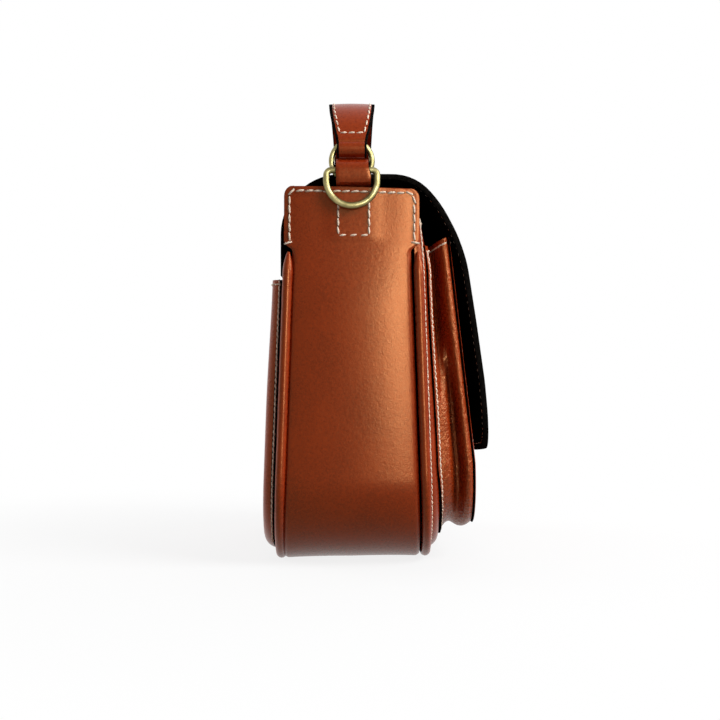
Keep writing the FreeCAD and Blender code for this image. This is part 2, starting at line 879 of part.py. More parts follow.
def make_strap_ring(label, hand):
    # A bent wire: a straight bar along Y in the tab, two short legs and a half round hanging below.
    body = new_body(label)
    half = size.strap_eye / 2 + strap_radius
    corner = size.strap_corner
    leg_end = half - size.strap_drop
    path = new_sketch(body, "path", "YZ_Plane")
    draw(path, [
        (corner - half, zero, corner, -1),
        (half - corner, zero),
        (half, -corner, corner, -1),
        (half, leg_end),
        (zero, -size.strap_drop, half, -1),
        (-half, leg_end, half, -1),
        (-half, -corner),
    ])
    section = new_sketch(body, "section", "XZ_Plane")
    draw_circle(section, zero, zero, strap_radius)
    sweep_along(body, section, path)
    body.Placement = Placement(Vector(hand * strap_bar_out.value, 0, bar_up.value),
                               Rotation(Vector(0, 1, 0), -hand * size.strap_lean.value))


for side_name, hand in (("left", -1), ("right", 1)):
    make_tab(side_name + "_ring_tab", hand)
    make_handle_ring(side_name + "_handle_ring", hand)
    make_strap_ring(side_name + "_strap_ring", hand)

# The handle: its ends lean in from the rings, bend, and run over in one long arch.
pivot_up = ring_top - size.handle_pivot_drop
lean_sine = sine(size.handle_lean)
lean_cosine = cosine(size.handle_lean)
bend_in = ring_out - size.handle_straight * lean_sine - size.handle_bend * lean_cosine
bend_up = pivot_up + size.handle_straight * lean_cosine - size.handle_bend * lean_sine
arch_sine = bend_in / (size.handle_arch - size.handle_bend)
arch_cosine = root(1 - arch_sine * arch_sine)


def strap_point(hand, along, out):
    # A point of one handle end: along runs up the strap from the ring, out is away from the hand.
    across = ring_out - along * lean_sine + out * lean_cosine
    return hand * across, pivot_up + along * lean_cosine + out * lean_sine


def arch_point(hand, out):
    radius = size.handle_bend + out
    return hand * (bend_in + radius * arch_sine), bend_up + radius * arch_cosine


def over_arch(out, turn):
    # The bend at one end, the arch and the other bend, for a layer at a distance out from the middle.
    # It runs leftwards with turn 1 and rightwards with turn -1.
    bend = size.handle_bend + out
    arch = size.handle_arch + out
    return [
        strap_point(turn, size.handle_straight, out),
        arch_point(turn, out) + (bend, turn),
        arch_point(-turn, out) + (arch, turn),
        strap_point(-turn, size.handle_straight, out) + (bend, turn),
    ]


def end_fold(hand, first, radius, turn):
    # Half a round under the ring, in two quarters; first is 1 from the outer side and -1 from the inner.
    drop = -size.handle_loop_drop
    return [
        strap_point(hand, drop, first * radius),
        strap_point(hand, drop - radius, zero) + (radius, turn),
        strap_point(hand, drop, -first * radius) + (radius, turn),
    ]


def trim_handle(body):
    # Seen from the side the handle is narrow at the rings and wide over the hand.
    trim = new_sketch(body, "width_trim", "YZ_Plane")
    narrow = size.handle_end_width / 2
    broad = size.handle_width / 2
    taper_low = pivot_up + size.handle_pivot_drop * 2
    for hand in (1, -1):
        draw(trim, [
            (hand * narrow, ring_centre),
            (hand * narrow, taper_low),
            (hand * broad, taper_low + size.handle_taper),
            (hand * over, taper_low + size.handle_taper),
            (hand * over, ring_centre),
        ])
    cut_through(body, trim)


def make_handle_layer(label, outer, inner, start):
    body = new_body(label)
    section = new_sketch(body, "section", "XZ_Plane")
    draw(section, [strap_point(1, start, outer)] + over_arch(outer, 1)
         + [strap_point(-1, start, outer), strap_point(-1, start, inner)] + over_arch(inner, -1)
         + [strap_point(1, start, inner)])
    pad(body, section, size.handle_width, True)
    trim_handle(body)


def make_handle_top():
    # The top leather runs round each ring and back up the inner side of the end.
    body = new_body("handle_top")
    section = new_sketch(body, "section", "XZ_Plane")
    near = size.handle_hollow
    far = near + size.handle_leather
    back = size.handle_straight - size.layer_gap
    outside = end_fold(1, -1, far, 1) + over_arch(far, 1) + end_fold(-1, 1, far, 1)
    inside = end_fold(-1, -1, near, -1) + over_arch(near, -1) + end_fold(1, 1, near, -1)
    left_end = [strap_point(-1, back, -far), strap_point(-1, back, -near)]
    right_end = [strap_point(1, back, -near), strap_point(1, back, -far)]
    draw(section, outside + left_end + inside + right_end)
    pad(body, section, size.handle_width, True)
    trim_handle(body)


make_handle_top()
core_start = size.handle_pivot_drop + wire_radius + size.running_gap
under_low = -size.handle_hollow + size.layer_gap
under_high = under_low + size.handle_under
make_handle_layer("handle_underside", under_high, under_low, core_start)
make_handle_layer("handle_core", size.handle_hollow - size.layer_gap, under_high + size.layer_gap, core_start)

doc.recompute()
for item in doc.Objects:
    if "Invalid" in item.State or "Error" in item.State:
        raise ValueError("%s did not recompute: %s" % (item.Name, item.State))
for label, piece in pieces.items():
    if piece.Shape.isNull() or not piece.Shape.isValid():
        raise ValueError("%s has no valid shape" % label)
os.makedirs("parts", exist_ok=True)
for label, piece in pieces.items():
    piece.Shape.exportStep("parts/%s.step" % label)
    box = piece.Shape.BoundBox
    print("%-22s solids %d  X %.1f %.1f  Y %.1f %.1f  Z %.1f %.1f" % (
        label, len(piece.Shape.Solids), box.XMin, box.XMax, box.YMin, box.YMax, box.ZMin, box.ZMax))
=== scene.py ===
import math
import bpy
import numpy as np
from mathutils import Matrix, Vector


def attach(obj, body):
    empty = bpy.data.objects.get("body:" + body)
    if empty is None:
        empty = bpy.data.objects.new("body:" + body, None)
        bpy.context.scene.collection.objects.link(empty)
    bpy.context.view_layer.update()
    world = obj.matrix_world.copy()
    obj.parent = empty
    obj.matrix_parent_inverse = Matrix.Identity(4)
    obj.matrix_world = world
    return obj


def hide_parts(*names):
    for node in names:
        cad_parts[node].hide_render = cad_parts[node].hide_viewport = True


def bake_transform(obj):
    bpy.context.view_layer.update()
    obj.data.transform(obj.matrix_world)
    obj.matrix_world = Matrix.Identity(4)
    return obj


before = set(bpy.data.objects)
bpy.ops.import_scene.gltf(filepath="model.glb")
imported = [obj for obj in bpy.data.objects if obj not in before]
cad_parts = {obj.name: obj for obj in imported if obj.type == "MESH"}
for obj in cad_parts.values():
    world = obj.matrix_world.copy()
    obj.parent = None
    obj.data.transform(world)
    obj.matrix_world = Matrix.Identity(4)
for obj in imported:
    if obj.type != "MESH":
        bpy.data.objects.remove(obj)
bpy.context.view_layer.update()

mm = 0.001
quarter = math.pi / 2
print("frame:", len(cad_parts), "nodes")

# Sizes are millimetres. X runs across the bag, -Y is its front, Z is up.
# A pair such as "puffFade" holds the two places, mostly heights, between which something eases.
bag = {"halfWidth": 124.0, "height": 217.0, "baseDepth": 86.0, "topDepth": 71.0,
       "corner": 50.0, "seamTop": 181.0}
lean = math.atan((bag["baseDepth"] - bag["topDepth"]) / 2 / bag["height"])


# materials
def hexColour(text):
    values = [int(text[i:i + 2], 16) / 255 for i in (0, 2, 4)]
    linear = [v / 12.92 if v <= 0.04045 else ((v + 0.055) / 1.055) ** 2.4 for v in values]
    return (*linear, 1.0)


def setInputs(tree, node, inputs):
    # links a socket, or a node's first output, or else puts the value on the input itself
    for name, value in inputs.items():
        if isinstance(value, bpy.types.Node):
            value = value.outputs[0]
        if isinstance(value, bpy.types.NodeSocket):
            tree.links.new(value, node.inputs[name])
        else:
            node.inputs[name].default_value = value


def addNode(tree, kind, inputs=None, stops=(), **settings):
    node = tree.nodes.new(kind)
    for name, value in settings.items():
        setattr(node, name, value)
    for k, (position, colour) in enumerate(stops):
        ramp = node.color_ramp.elements
        mark = ramp[k] if k < 2 else ramp.new(position)
        mark.position, mark.color = position, hexColour(colour)
    setInputs(tree, node, inputs or {})
    return node


def perMetre(size):
    return 1000.0 / size  # texture scale for a feature of this many millimetres


def emptyTree(owner):
    owner.use_nodes = True
    owner.node_tree.nodes.clear()
    return owner.node_tree


def newMaterial(name):
    material = bpy.data.materials.new(name)
    tree = emptyTree(material)
    place = addNode(tree, "ShaderNodeTexCoord").outputs["Object"]
    shader = addNode(tree, "ShaderNodeBsdfPrincipled")
    addNode(tree, "ShaderNodeOutputMaterial", {"Surface": shader})
    return material, tree, place, shader


# Vegetable-tanned calf, waxed and rolled smooth: a soft gloss over a cloudy tan. Its pores are
# about 0.3 mm and are drawn at 0.7 mm, so that they just show.
calf = {"cloud": 30, "mottle": 1.7, "pore": 0.7, "fold": 2.4, "mottleShare": 0.65,
        "roughness": (0.25, 0.31), "wax": "ffb87a"}


def tannedLeather(name, tones, crease, gloss):
    material, tree, place, shader = newMaterial(name)
    cloud = addNode(tree, "ShaderNodeTexNoise", {
        "Vector": place, "Scale": perMetre(calf["cloud"]), "Detail": 2.0, "Roughness": 0.5})
    mottle = addNode(tree, "ShaderNodeTexNoise", {
        "Vector": place, "Scale": perMetre(calf["mottle"]), "Detail": 4.0, "Roughness": 0.65})
    mixed = addNode(tree, "ShaderNodeMath", {0: cloud, 1: 1 - calf["mottleShare"]}, operation="MULTIPLY")
    mixed = addNode(tree, "ShaderNodeMath", {
        0: mottle, 1: calf["mottleShare"], 2: mixed}, operation="MULTIPLY_ADD")
    colour = addNode(tree, "ShaderNodeValToRGB", {"Fac": mixed},
                     [(0.3, tones[0]), (0.7, tones[2]), (0.5, tones[1])])
    rough = addNode(tree, "ShaderNodeMapRange", {
        "Value": mixed, "From Min": 0.3, "From Max": 0.7,
        "To Min": calf["roughness"][0], "To Max": calf["roughness"][1]})
    pores = addNode(tree, "ShaderNodeTexVoronoi", {"Vector": place, "Scale": perMetre(calf["pore"])})
    poreBump = addNode(tree, "ShaderNodeBump", {"Strength": 0.10, "Distance": 0.0002, "Height": pores})
    folds = addNode(tree, "ShaderNodeTexNoise", {
        "Vector": place, "Scale": perMetre(calf["fold"]), "Detail": 4.0, "Distortion": 0.8})
    foldBump = addNode(tree, "ShaderNodeBump", {
        "Strength": crease, "Distance": 0.001, "Height": folds, "Normal": poreBump})
    setInputs(tree, shader, {
        "Base Color": colour, "Roughness": rough, "Normal": foldBump, "IOR": 1.5,
        "Specular IOR Level": gloss, "Specular Tint": hexColour(calf["wax"])})  # the wax film is amber
    return material


def grained(name, grain, detail, tones, relief, finish):
    # one fine noise drives the colour and the relief
    material, tree, place, shader = newMaterial(name)
    noise = addNode(tree, "ShaderNodeTexNoise", {
        "Vector": place, "Scale": perMetre(grain), "Detail": detail})
    colour = addNode(tree, "ShaderNodeValToRGB", {"Fac": noise}, tones)
    bump = addNode(tree, "ShaderNodeBump", {"Strength": relief, "Distance": 0.0002, "Height": noise})
    setInputs(tree, shader, {"Base Color": colour, "Normal": bump, **finish})
    return material


# Split-leather lining, dyed black: a short nap that stays nearly matt.
def liningSuede():
    material, tree, place, shader = newMaterial("black split-leather lining")
    nap = addNode(tree, "ShaderNodeTexNoise", {"Vector": place, "Scale": perMetre(0.9), "Detail": 5.0})
    patch = addNode(tree, "ShaderNodeTexNoise", {"Vector": place, "Scale": perMetre(18), "Detail": 2.0})
    tone = addNode(tree, "ShaderNodeMath", {0: nap, 1: patch}, operation="MULTIPLY")
    colour = addNode(tree, "ShaderNodeValToRGB", {"Fac": tone}, [(0.12, "0a0909"), (0.42, "171514")])
    bump = addNode(tree, "ShaderNodeBump", {"Strength": 0.3, "Distance": 0.0003, "Height": nap})
    setInputs(tree, shader, {
        "Base Color": colour, "Normal": bump, "Roughness": 0.66, "Specular IOR Level": 0.0})
    return material


# Zinc wire plated in antique brass and brushed: a dull olive gold, with duller worn patches.
def antiqueBrass():
    material, tree, place, shader = newMaterial("antique brass plate")
    wear = addNode(tree, "ShaderNodeTexNoise", {"Vector": place, "Scale": perMetre(5), "Detail": 5.0})
    colour = addNode(tree, "ShaderNodeValToRGB", {"Fac": wear},
                     [(0.3, "6c6440"), (0.7, "a79d70"), (0.5, "8a8156")])
    rough = addNode(tree, "ShaderNodeMapRange", {
        "Value": wear, "From Min": 0.3, "From Max": 0.7, "To Min": 0.44, "To Max": 0.34})
    setInputs(tree, shader, {"Base Color": colour, "Roughness": rough, "Metallic": 1.0})
    return material


tan = tannedLeather("tan waxed calf", ("701d06", "842608", "96310d"), 0.08, 0.5)
# Creased calf for the bellows: its creases are real, but its tones are lighter than the tan's, painted
# light that makes the bellows' roll read lit.
creasedTanPaintedLit = tannedLeather("tan creased calf painted lighter", ("6a2006", "8a2d0b", "9e3b13"), 0.8, 0.65)
tanRaw = tannedLeather("tan flesh-side calf", ("5a1c07", "6e270c", "7d3110"), 0.2, 0.0)
# Acrylic edge paint over cut leather: black, dull, with the knife's ripples under it.
black = grained("black edge paint", grain=1.4, detail=3.0, tones=[(0.35, "0b0a09"), (0.65, "171412")],
                relief=0.25, finish={"Roughness": 0.6, "Specular IOR Level": 0.0})
lining = liningSuede()
brass = antiqueBrass()
# Waxed polyester saddle thread: cream, twisted, with a dull shine.
thread = grained("cream saddle thread", grain=0.5, detail=2.0, tones=[(0.3, "cdb195"), (0.6, "f0dcc6")],
                 relief=0.5, finish={"Roughness": 0.62})
print("materials made")


# shape helpers
def smooth(low, high, value):
    share = np.clip((np.asarray(value, float) - low) / (high - low), 0, 1)
    return share * share * (3 - 2 * share)


def arc(centre, radius, turns):
    return [(centre[0] + radius * math.cos(a), centre[1] + radius * math.sin(a)) for a in turns]


def mirrored(line):
    return line + [(-x, z) for x, z in reversed(line[:-1])]


def runLength(points):
    return np.concatenate([[0], np.cumsum(np.linalg.norm(np.diff(points, axis=0), axis=1))])


def pointsAt(stops, run, line):
    return np.stack([np.interp(stops, run, line[:, k]) for k in range(line.shape[1])], -1)


def seamAt(z):
    return bag["baseDepth"] / 2 - z * math.tan(lean)


def onFront(x, n, v):
    # n stands out from the leaning front seam, v runs up along it
    x, n, v = np.broadcast_arrays(*(np.asarray(value, float) for value in (x, n, v)))
    y = -bag["baseDepth"] / 2 - n * math.cos(lean) + v * math.sin(lean)
    return np.stack([x, y, n * math.sin(lean) + v * math.cos(lean)], -1)


def onBack(x, n, v):
    return onFront(x, n, v) * np.array([1, -1, 1])


def uPath(half, low, radius, heights, arcSteps=16, baseSteps=18):
    # points (x, z) and outward directions down the left, under the base and up the right
    turns = [math.pi + quarter * k / arcSteps for k in range(arcSteps + 1)]
    points = [(-half, z) for z in heights] + arc((radius - half, low + radius), radius, turns)
    out = [(-1.0, 0.0)] * len(heights) + arc((0, 0), 1, turns)
    side = len(points)
    points += [((half - radius) * (2 * k / baseSteps - 1), low) for k in range(1, baseSteps)]
    out += [(0.0, -1.0)] * (baseSteps - 1)
    points += [(-x, z) for x, z in reversed(points[:side])]
    out += [(-x, z) for x, z in reversed(out[:side])]
    return np.array(points), np.array(out)


def addObject(name, data):
    obj = bpy.data.objects.new(name, data)
    bpy.context.scene.collection.objects.link(obj)
    return obj


def finishMesh(obj, angle=50):
    # makes the modifiers' result the object's own mesh
    view = bpy.context.evaluated_depsgraph_get()
    mesh = bpy.data.meshes.new_from_object(obj.evaluated_get(view))
    obj.modifiers.clear()
    obj.data = mesh
    mesh.name = obj.name
    mesh.shade_smooth()
    mesh.set_sharp_from_angle(angle=math.radians(angle))
    return obj


def meshObject(name, verts, faces, finishes, slots=None):
    mesh = bpy.data.meshes.new(name)
    mesh.from_pydata([tuple(v) for v in np.asarray(verts) * mm], [], faces)
    for finish in finishes:
        mesh.materials.append(finish)
    if slots is not None:
        mesh.polygons.foreach_set("material_index", slots)
    return addObject(name, mesh)


def sheet(name, grid, thickness, finishes=(tan, lining, black), flip=False, bevel=0.3, painted=0):
    # a leather cut: the grid is its outer face, the thickness goes inwards;
    # finishes are outside, inside, edge
    rows, cols = grid.shape[:2]
    faces, slots = [], []
    for r in range(rows - 1):
        for c in range(cols - 1):
            a = r * cols + c
            quad = (a, a + 1, a + cols + 1, a + cols)
            faces.append(quad[::-1] if flip else quad)
            slots.append(2 if min(r, c, cols - 2 - c) < painted else 0)  # rim cells with edge paint
    obj = meshObject(name, grid.reshape(-1, 3), faces, finishes, slots)
    ply = obj.modifiers.new("ply", "SOLIDIFY")
    ply.thickness = thickness * mm
    ply.offset = -1
    ply.use_even_offset = True
    ply.material_offset = 1
    ply.material_offset_rim = 2
    edge = obj.modifiers.new("edge", "BEVEL")
    edge.width = bevel * mm
    edge.segments = 2
    edge.limit_method = "ANGLE"
    edge.angle_limit = math.radians(60)
    edge.material = 2
    return finishMesh(obj)


def signedVolume(mesh):
    mesh.calc_loop_triangles()
    points = np.array([v.co for v in mesh.vertices])
    corners = np.array([t.vertices for t in mesh.loop_triangles])
    a, b, c = points[corners[:, 0]], points[corners[:, 1]], points[corners[:, 2]]
    return float(np.einsum("ij,ij->i", a, np.cross(b, c)).sum())


def tube(name, centres, radii, binormal, finish, closed=False, sides=16):
    # a round section along a flat path; the ends of an open one are closed
    centres, binormal = np.asarray(centres, float), np.asarray(binormal, float)
    count = len(centres)
    ahead = np.roll(centres, -1, 0) - np.roll(centres, 1, 0)
    if not closed:
        ahead[0], ahead[-1] = centres[1] - centres[0], centres[-1] - centres[-2]
    ahead /= np.linalg.norm(ahead, axis=1)[:, None]
    across = np.cross(binormal, ahead)
    turns = np.linspace(0, 2 * math.pi, sides, endpoint=False)[None, :, None]
    around = np.cos(turns) * across[:, None] + np.sin(turns) * binormal
    verts = centres[:, None] + np.broadcast_to(radii, count)[:, None, None] * around
    faces = []
    for i in range(count if closed else count - 1):
        j = (i + 1) % count
        for k in range(sides):
            m = (k + 1) % sides
            faces.append((i * sides + k, i * sides + m, j * sides + m, j * sides + k))
    if not closed:
        faces.append(tuple(range(sides))[::-1])
        faces.append(tuple((count - 1) * sides + k for k in range(sides)))
    obj = meshObject(name, verts.reshape(-1, 3), faces, [finish])
    if signedVolume(obj.data) < 0:
        obj.data.flip_normals()
    return finishMesh(obj)


def dress(obj, nodes, body="bag"):
    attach(obj, body)
    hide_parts(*nodes)


# stitching: runs are gathered here and sewn at the end, one mesh for each body
stitchRuns = {"bag": [], "flap": [], "handle": []}
fineStitch = {"pitch": 3.3, "share": 0.64, "thread": 0.95, "lift": 0.12}
boldStitch = {"pitch": 5.3, "share": 0.55, "thread": 1.25, "lift": 0.12}
tackStitch = {"pitch": 0.6, "share": 4.5, "thread": 1.2, "lift": 0.12}
flatStitch = {"pitch": 4.8, "share": 0.55, "thread": 1.1, "lift": -0.2}
sunkStitch = {"pitch": 4.0, "share": 0.64, "thread": 0.9, "lift": -0.3}  # drawn down into a groove
liningStitch = {"pitch": 4.0, "share": 0.6, "thread": 0.9, "lift": -0.43}  # hardly shows in the nap


def sew(body, points, normals, style):
    points, normals = np.asarray(points, float), np.asarray(normals, float)
    run, half = runLength(points), style["pitch"] / 2
    stops = np.clip(run, half, run[-1] - half)  # half a stitch from either end
    stops = stops[np.concatenate([[True], np.diff(stops) > 1e-6])]
    length = stops[-1] - stops[0]
    fitted = length / max(round(length / style["pitch"]), 1) * 0.999  # short, so that the last one fits
    stitchRuns[body].append((pointsAt(stops, run, points), pointsAt(stops, run, normals), style, fitted))


def gridNormals(grid, flip=False):
    normal = np.cross(np.gradient(grid, axis=1), np.gradient(grid, axis=0))
    normal /= np.maximum(np.linalg.norm(normal, axis=-1), 1e-9)[..., None]
    return -normal if flip else normal


def insetRun(grid, normals, inset, first, last):
    # a line that follows column 0 of a grid at a distance from it
    runs = [runLength(row) for row in grid[first:last]]
    return tuple(np.array([pointsAt(inset, run, row) for run, row in zip(runs, rows[first:last])])
                 for rows in (grid, normals))


def sewSides(body, grid, normals, inset, first, last, style):
    # the same seam along the first and the last column
    for step in (1, -1):
        sew(body, *insetRun(grid[:, ::step], normals[:, ::step], inset, first, last), style)


def sewMouth(grid, normals, inset):
    # a seam below the top row, which is the last one
    grid, normals = (rows.transpose(1, 0, 2)[:, ::-1] for rows in (grid, normals))
    sew("bag", *insetRun(grid, normals, inset, 2, -2), fineStitch)


# side walls and base: one strip of leather, padded, with a free wing above the seams
wall = {"thickness": 1.6, "puff": 3.4, "puffFade": (142, 205), "puffRound": 0.8, "baseArch": 1.3,
        "pipingRoom": 2.9, "grooveDip": 1.2, "grooveWidth": 1.1,
        "wingHalf": 38.75, "wingCorner": 6.0, "wingTurns": (68, 54, 40, 27, 14),
        "wingStep": (181.3, 186.3), "wingFree": (176, 190), "wingBend": 1.9, "bendFade": (155, 195),
        "topTilt": 0.9, "topLift": 1.2, "topFade": (200, 215),
        "baseTilt": 1.2, "baseFade": (40, 4), "baseReach": 40,
        "tabRise": 0.6, "tabHalf": 10.2, "tabRamp": (18.2, 9.8), "tabLow": 188.5, "tabFade": (185.5, 189.5),
        "tabShift": -1.0, "sewInset": 3.1, "sewDip": 0.25, "sewWidth": 0.9,
        "fineLow": 178, "fineStep": 1.5, "rowStep": 4.0}
edgeShares = [1.0, 0.988, 0.972, 0.953, 0.93, 0.90, 0.86, 0.8, 0.72, 0.62, 0.52, 0.42, 0.32, 0.25,
              0.18, 0.09]
wallShares = np.array([-s for s in edgeShares] + [0.0] + edgeShares[::-1])


def wallHalf(z):
    seam = seamAt(z) - wall["pipingRoom"]
    half = seam + (wall["wingHalf"] - seam) * smooth(*wall["wingStep"], z)
    corner = wall["wingCorner"]
    over = z - (bag["height"] - corner)
    return half - (corner - math.sqrt(max(corner ** 2 - over ** 2, 0))) if over > 0 else half


def overTab(y):
    return smooth(*wall["tabRamp"], np.abs(y - wall["tabShift"]))


def wingTilt(y, z):
    # the wing's top edge stands a little higher at the rear
    return (wall["topLift"] + wall["topTilt"] * y / wall["wingHalf"]) * smooth(*wall["topFade"], z)


def wingBend(y, z):
    # the wing's free edges curl in a little
    return -wall["wingBend"] * smooth(*wall["bendFade"], z) * (np.abs(y) / wall["wingHalf"]) ** 3


def wallGrid():
    corner = wall["wingCorner"]
    bend = bag["height"] - corner
    heights = [bend + corner * math.sin(math.radians(a)) for a in wall["wingTurns"]]
    heights += list(np.arange(bend, wall["fineLow"], -wall["fineStep"]))
    heights += list(np.arange(wall["fineLow"] - 1, bag["corner"] + 1, -wall["rowStep"]))
    rows = []
    for (x, z), (outX, outZ) in zip(*uPath(bag["halfWidth"], 0.0, bag["corner"], heights)):
        upright, side = abs(outX), outX * outX
        half = wallHalf(z) if upright == 1 else seamAt(z) - wall["pipingRoom"]
        y = wallShares * half
        inside = half - np.abs(y)
        free = smooth(*wall["wingFree"], z) * upright
        lift = side * wall["puff"] * (1 - smooth(*wall["puffFade"], z)) - (1 - side) * wall["baseArch"]
        push = lift * (1 - wallShares ** 2) ** wall["puffRound"]
        push -= wall["grooveDip"] * (1 - free) * np.exp(-(inside / wall["grooveWidth"]) ** 2)
        push -= wall["sewDip"] * free * np.exp(-((inside - wall["sewInset"]) / wall["sewWidth"]) ** 2)
        push += wall["tabRise"] * upright * overTab(y) * smooth(*wall["tabFade"], z)
        push += upright * wingBend(y, z)
        low = smooth(*wall["baseFade"], z) * np.clip(-y / wall["baseReach"], 0, 1)
        tilt = wingTilt(y, z) + wall["baseTilt"] * low
        rows.append(np.stack([x + outX * push, y, z + outZ * push + tilt], -1))
    return np.array(rows)


dress(sheet("gusset_leather", wallGrid(), wall["thickness"], bevel=0.2), ["gusset"])

wingSeam = {"low": 187.0, "lift": 0.05, "cornerTurns": (0.4, 0.8, 1.2), "topPoints": 24,
            "boxInset": 1.4, "boxRise": 1.6, "boxDrop": 4.0,
            "tack": ((0.1, 186.1), (1.4, 185.8)), "tackLift": 0.15}


def wingStitches(hand):
    # round the wing's free edge, then the box over the tab's sewn tail
    x = hand * (bag["halfWidth"] + wingSeam["lift"])
    side, top = wall["wingHalf"] - wall["sewInset"], bag["height"] - wall["sewInset"]
    bend = wall["wingCorner"] - wall["sewInset"]
    line = [(side, wingSeam["low"]), (side, top - bend)]
    line += arc((side - bend, top - bend), bend, wingSeam["cornerTurns"])
    line = mirrored(line + [(y, top) for y in np.linspace(side - bend, 0, wingSeam["topPoints"])])
    sew("bag", [(x + hand * (wall["tabRise"] * overTab(y) + wingBend(y, z)), y, z + wingTilt(y, z))
                for y, z in line], [(hand, 0, 0)] * len(line), boldStitch)
    box = wall["tabHalf"] - wingSeam["boxInset"]
    low, high = wall["tabLow"] + wingSeam["boxRise"], top - wingSeam["boxDrop"]
    corners = [(x + hand * wall["tabRise"], y + wall["tabShift"], z)
               for y, z in ((box, high), (box, low), (-box, low), (-box, high))]
    for a, b in zip(corners[:-1], corners[1:]):
        sew("bag", [a, b], [(hand, 0, 0)] * 2, boldStitch)
    for end in (1, -1):
        tack = [(end * (side + out), z) for out, z in wingSeam["tack"]]
        sew("bag", [(x + hand * (wingSeam["tackLift"] + wingBend(y, z)), y, z) for y, z in tack],
            [(hand, 0, 0)] * 2, tackStitch)


for hand in (-1, 1):
    wingStitches(hand)

innerWall = {"inset": 3.8, "thickness": 0.8, "top": 211.0, "frontRoom": 3.0, "rearRoom": 1.3,
             "rowStep": 6.0, "columns": 15}


def innerGrid():
    inset, columns = innerWall["inset"], innerWall["columns"]
    heights = list(np.arange(innerWall["top"], bag["corner"] + 1, -innerWall["rowStep"]))
    rows = []
    for x, z in uPath(bag["halfWidth"] - inset, inset, bag["corner"] - inset, heights)[0]:
        y = np.linspace(innerWall["frontRoom"] - seamAt(z), seamAt(z) - innerWall["rearRoom"], columns)
        rows.append(np.stack([np.full(columns, x), y, np.full(columns, z)], -1))
    return np.array(rows)


dress(sheet("gusset_inside", innerGrid(), innerWall["thickness"], (lining, lining, black), bevel=0.15),
      ["gusset_lining", "gusset_padding"])
print("side walls made")

# piping: a leather welt over a cord, proud of the walls, its tips drawn in to points
welt = {"radius": 2.9, "frontStand": 1.1, "rearStand": -0.6, "half": 123.0, "low": 2.9, "corner": 49.0,
        "tip": 11.0, "tipRadius": 0.7, "tipTaper": 1.8, "tipIn": 1.1, "tipTurn": 1.5, "baseFade": (45, 4),
        "uneven": ((0.012, 1.7, 0), (0.01, 0.63, 1)), "tipRows": 9, "rowGap": (3, 4), "rowStep": 3.5}


def makeWelt(name, place, nodes, stand, lift):
    top, tip = bag["seamTop"], bag["seamTop"] - welt["tip"]
    below, above = welt["rowGap"]
    heights = list(np.linspace(top, tip, welt["tipRows"]))
    heights += list(np.arange(tip - below, welt["corner"] + above, -welt["rowStep"]))
    points, out = uPath(welt["half"], welt["low"], welt["corner"], heights, arcSteps=22, baseSteps=30)
    v, run = points[:, 1], np.arange(len(points))
    taper = np.clip((v - tip) / welt["tip"], 0, 1)
    radii = welt["radius"] - (welt["radius"] - welt["tipRadius"]) * taper ** welt["tipTaper"]
    radii = radii * (1 + sum(size * np.sin(run * pace + start) for size, pace, start in welt["uneven"]))
    x = points[:, 0] - out[:, 0] * welt["tipIn"] * taper ** welt["tipTurn"]
    centres = place(x, stand, v + lift * smooth(*welt["baseFade"], v))
    binormal = place(0, 1, 0) - place(0, 0, 0)
    dress(tube(name, centres, radii, binormal, tan), nodes)


makeWelt("front_welt", onFront, ["front_piping", "front_piping_cord"], welt["frontStand"], wall["baseTilt"])
makeWelt("rear_welt", onBack, ["rear_piping", "rear_piping_cord"], welt["rearStand"], 0.0)
print("piping made")

# panels and pockets that lie in the seams; an edge is its half width, base height and corner radius
panel = {"edge": (120.1, 5.8, 46.1), "thickness": 1.8, "evenFrom": 19, "evenRows": 40, "evenColumns": 17}
front = {"bulge": 9.0, "bulgeMiddle": 6.8, "bulgeTop": 3.6, "middleFade": (60, 160), "topFade": (172, 203),
         "edgeStand": -0.9, "round": 8.0, "top": 201.0, "mouthInset": 3.0, "sewInset": 5.4}
back = {"edge": (120.0, 5.9, 46.0), "bulge": 9.8, "bulgeTop": 8.6, "topFade": (90, 165), "edgeStand": 1.0,
        "round": 8.0, "top": 165.0, "thickness": 1.6, "panelStand": 0.9, "panelTop": 186.0,
        "mouthInset": 2.6, "sewInset": 3.2}
edgeSteps = [0, 0.35, 0.9, 1.7, 2.8, 4.2, 6, 8.2, 11, 15]


def fromEdge(x, v, half, low, corner):
    # distance in from the sides, the round corners and the base
    across, up = np.abs(x), low + corner - v
    inset = half - across
    if up > 0:
        inset = np.minimum(inset, corner - np.hypot(np.maximum(across - (half - corner), 0), up))
    return np.maximum(inset, 0)


def panelGrid(place, edge, top, rise):
    half, low, corner = edge
    start = panel["evenFrom"]
    rows = []
    for v in [low + s for s in edgeSteps] + list(np.linspace(low + start, top, panel["evenRows"])):
        drop = low + corner - v
        w = half if drop <= 0 else half - corner + math.sqrt(max(corner ** 2 - drop ** 2, 0))
        even = np.linspace(-w + start, w - start, panel["evenColumns"])
        x = np.concatenate([[-w + s for s in edgeSteps], even, [w - s for s in edgeSteps[::-1]]])
        rows.append(place(x, rise(fromEdge(x, v, *edge), v), v))
    return np.array(rows)


def rounded(inset, radius):
    share = np.clip(np.asarray(inset) / radius, 0, 1)
    return np.sqrt(1 - (1 - share) ** 2)


def frontRise(inset, v):
    bulge = front["bulge"] + (front["bulgeMiddle"] - front["bulge"]) * smooth(*front["middleFade"], v)
    bulge = bulge + (front["bulgeTop"] - front["bulgeMiddle"]) * smooth(*front["topFade"], v)
    return front["edgeStand"] + (bulge - front["edgeStand"]) * rounded(inset, front["round"])


def backRise(inset, v):
    bulge = back["bulge"] + (back["bulgeTop"] - back["bulge"]) * smooth(*back["topFade"], v)
    return back["edgeStand"] + (bulge - back["edgeStand"]) * rounded(inset, back["round"])


def flatRise(inset, v):
    return back["panelStand"]


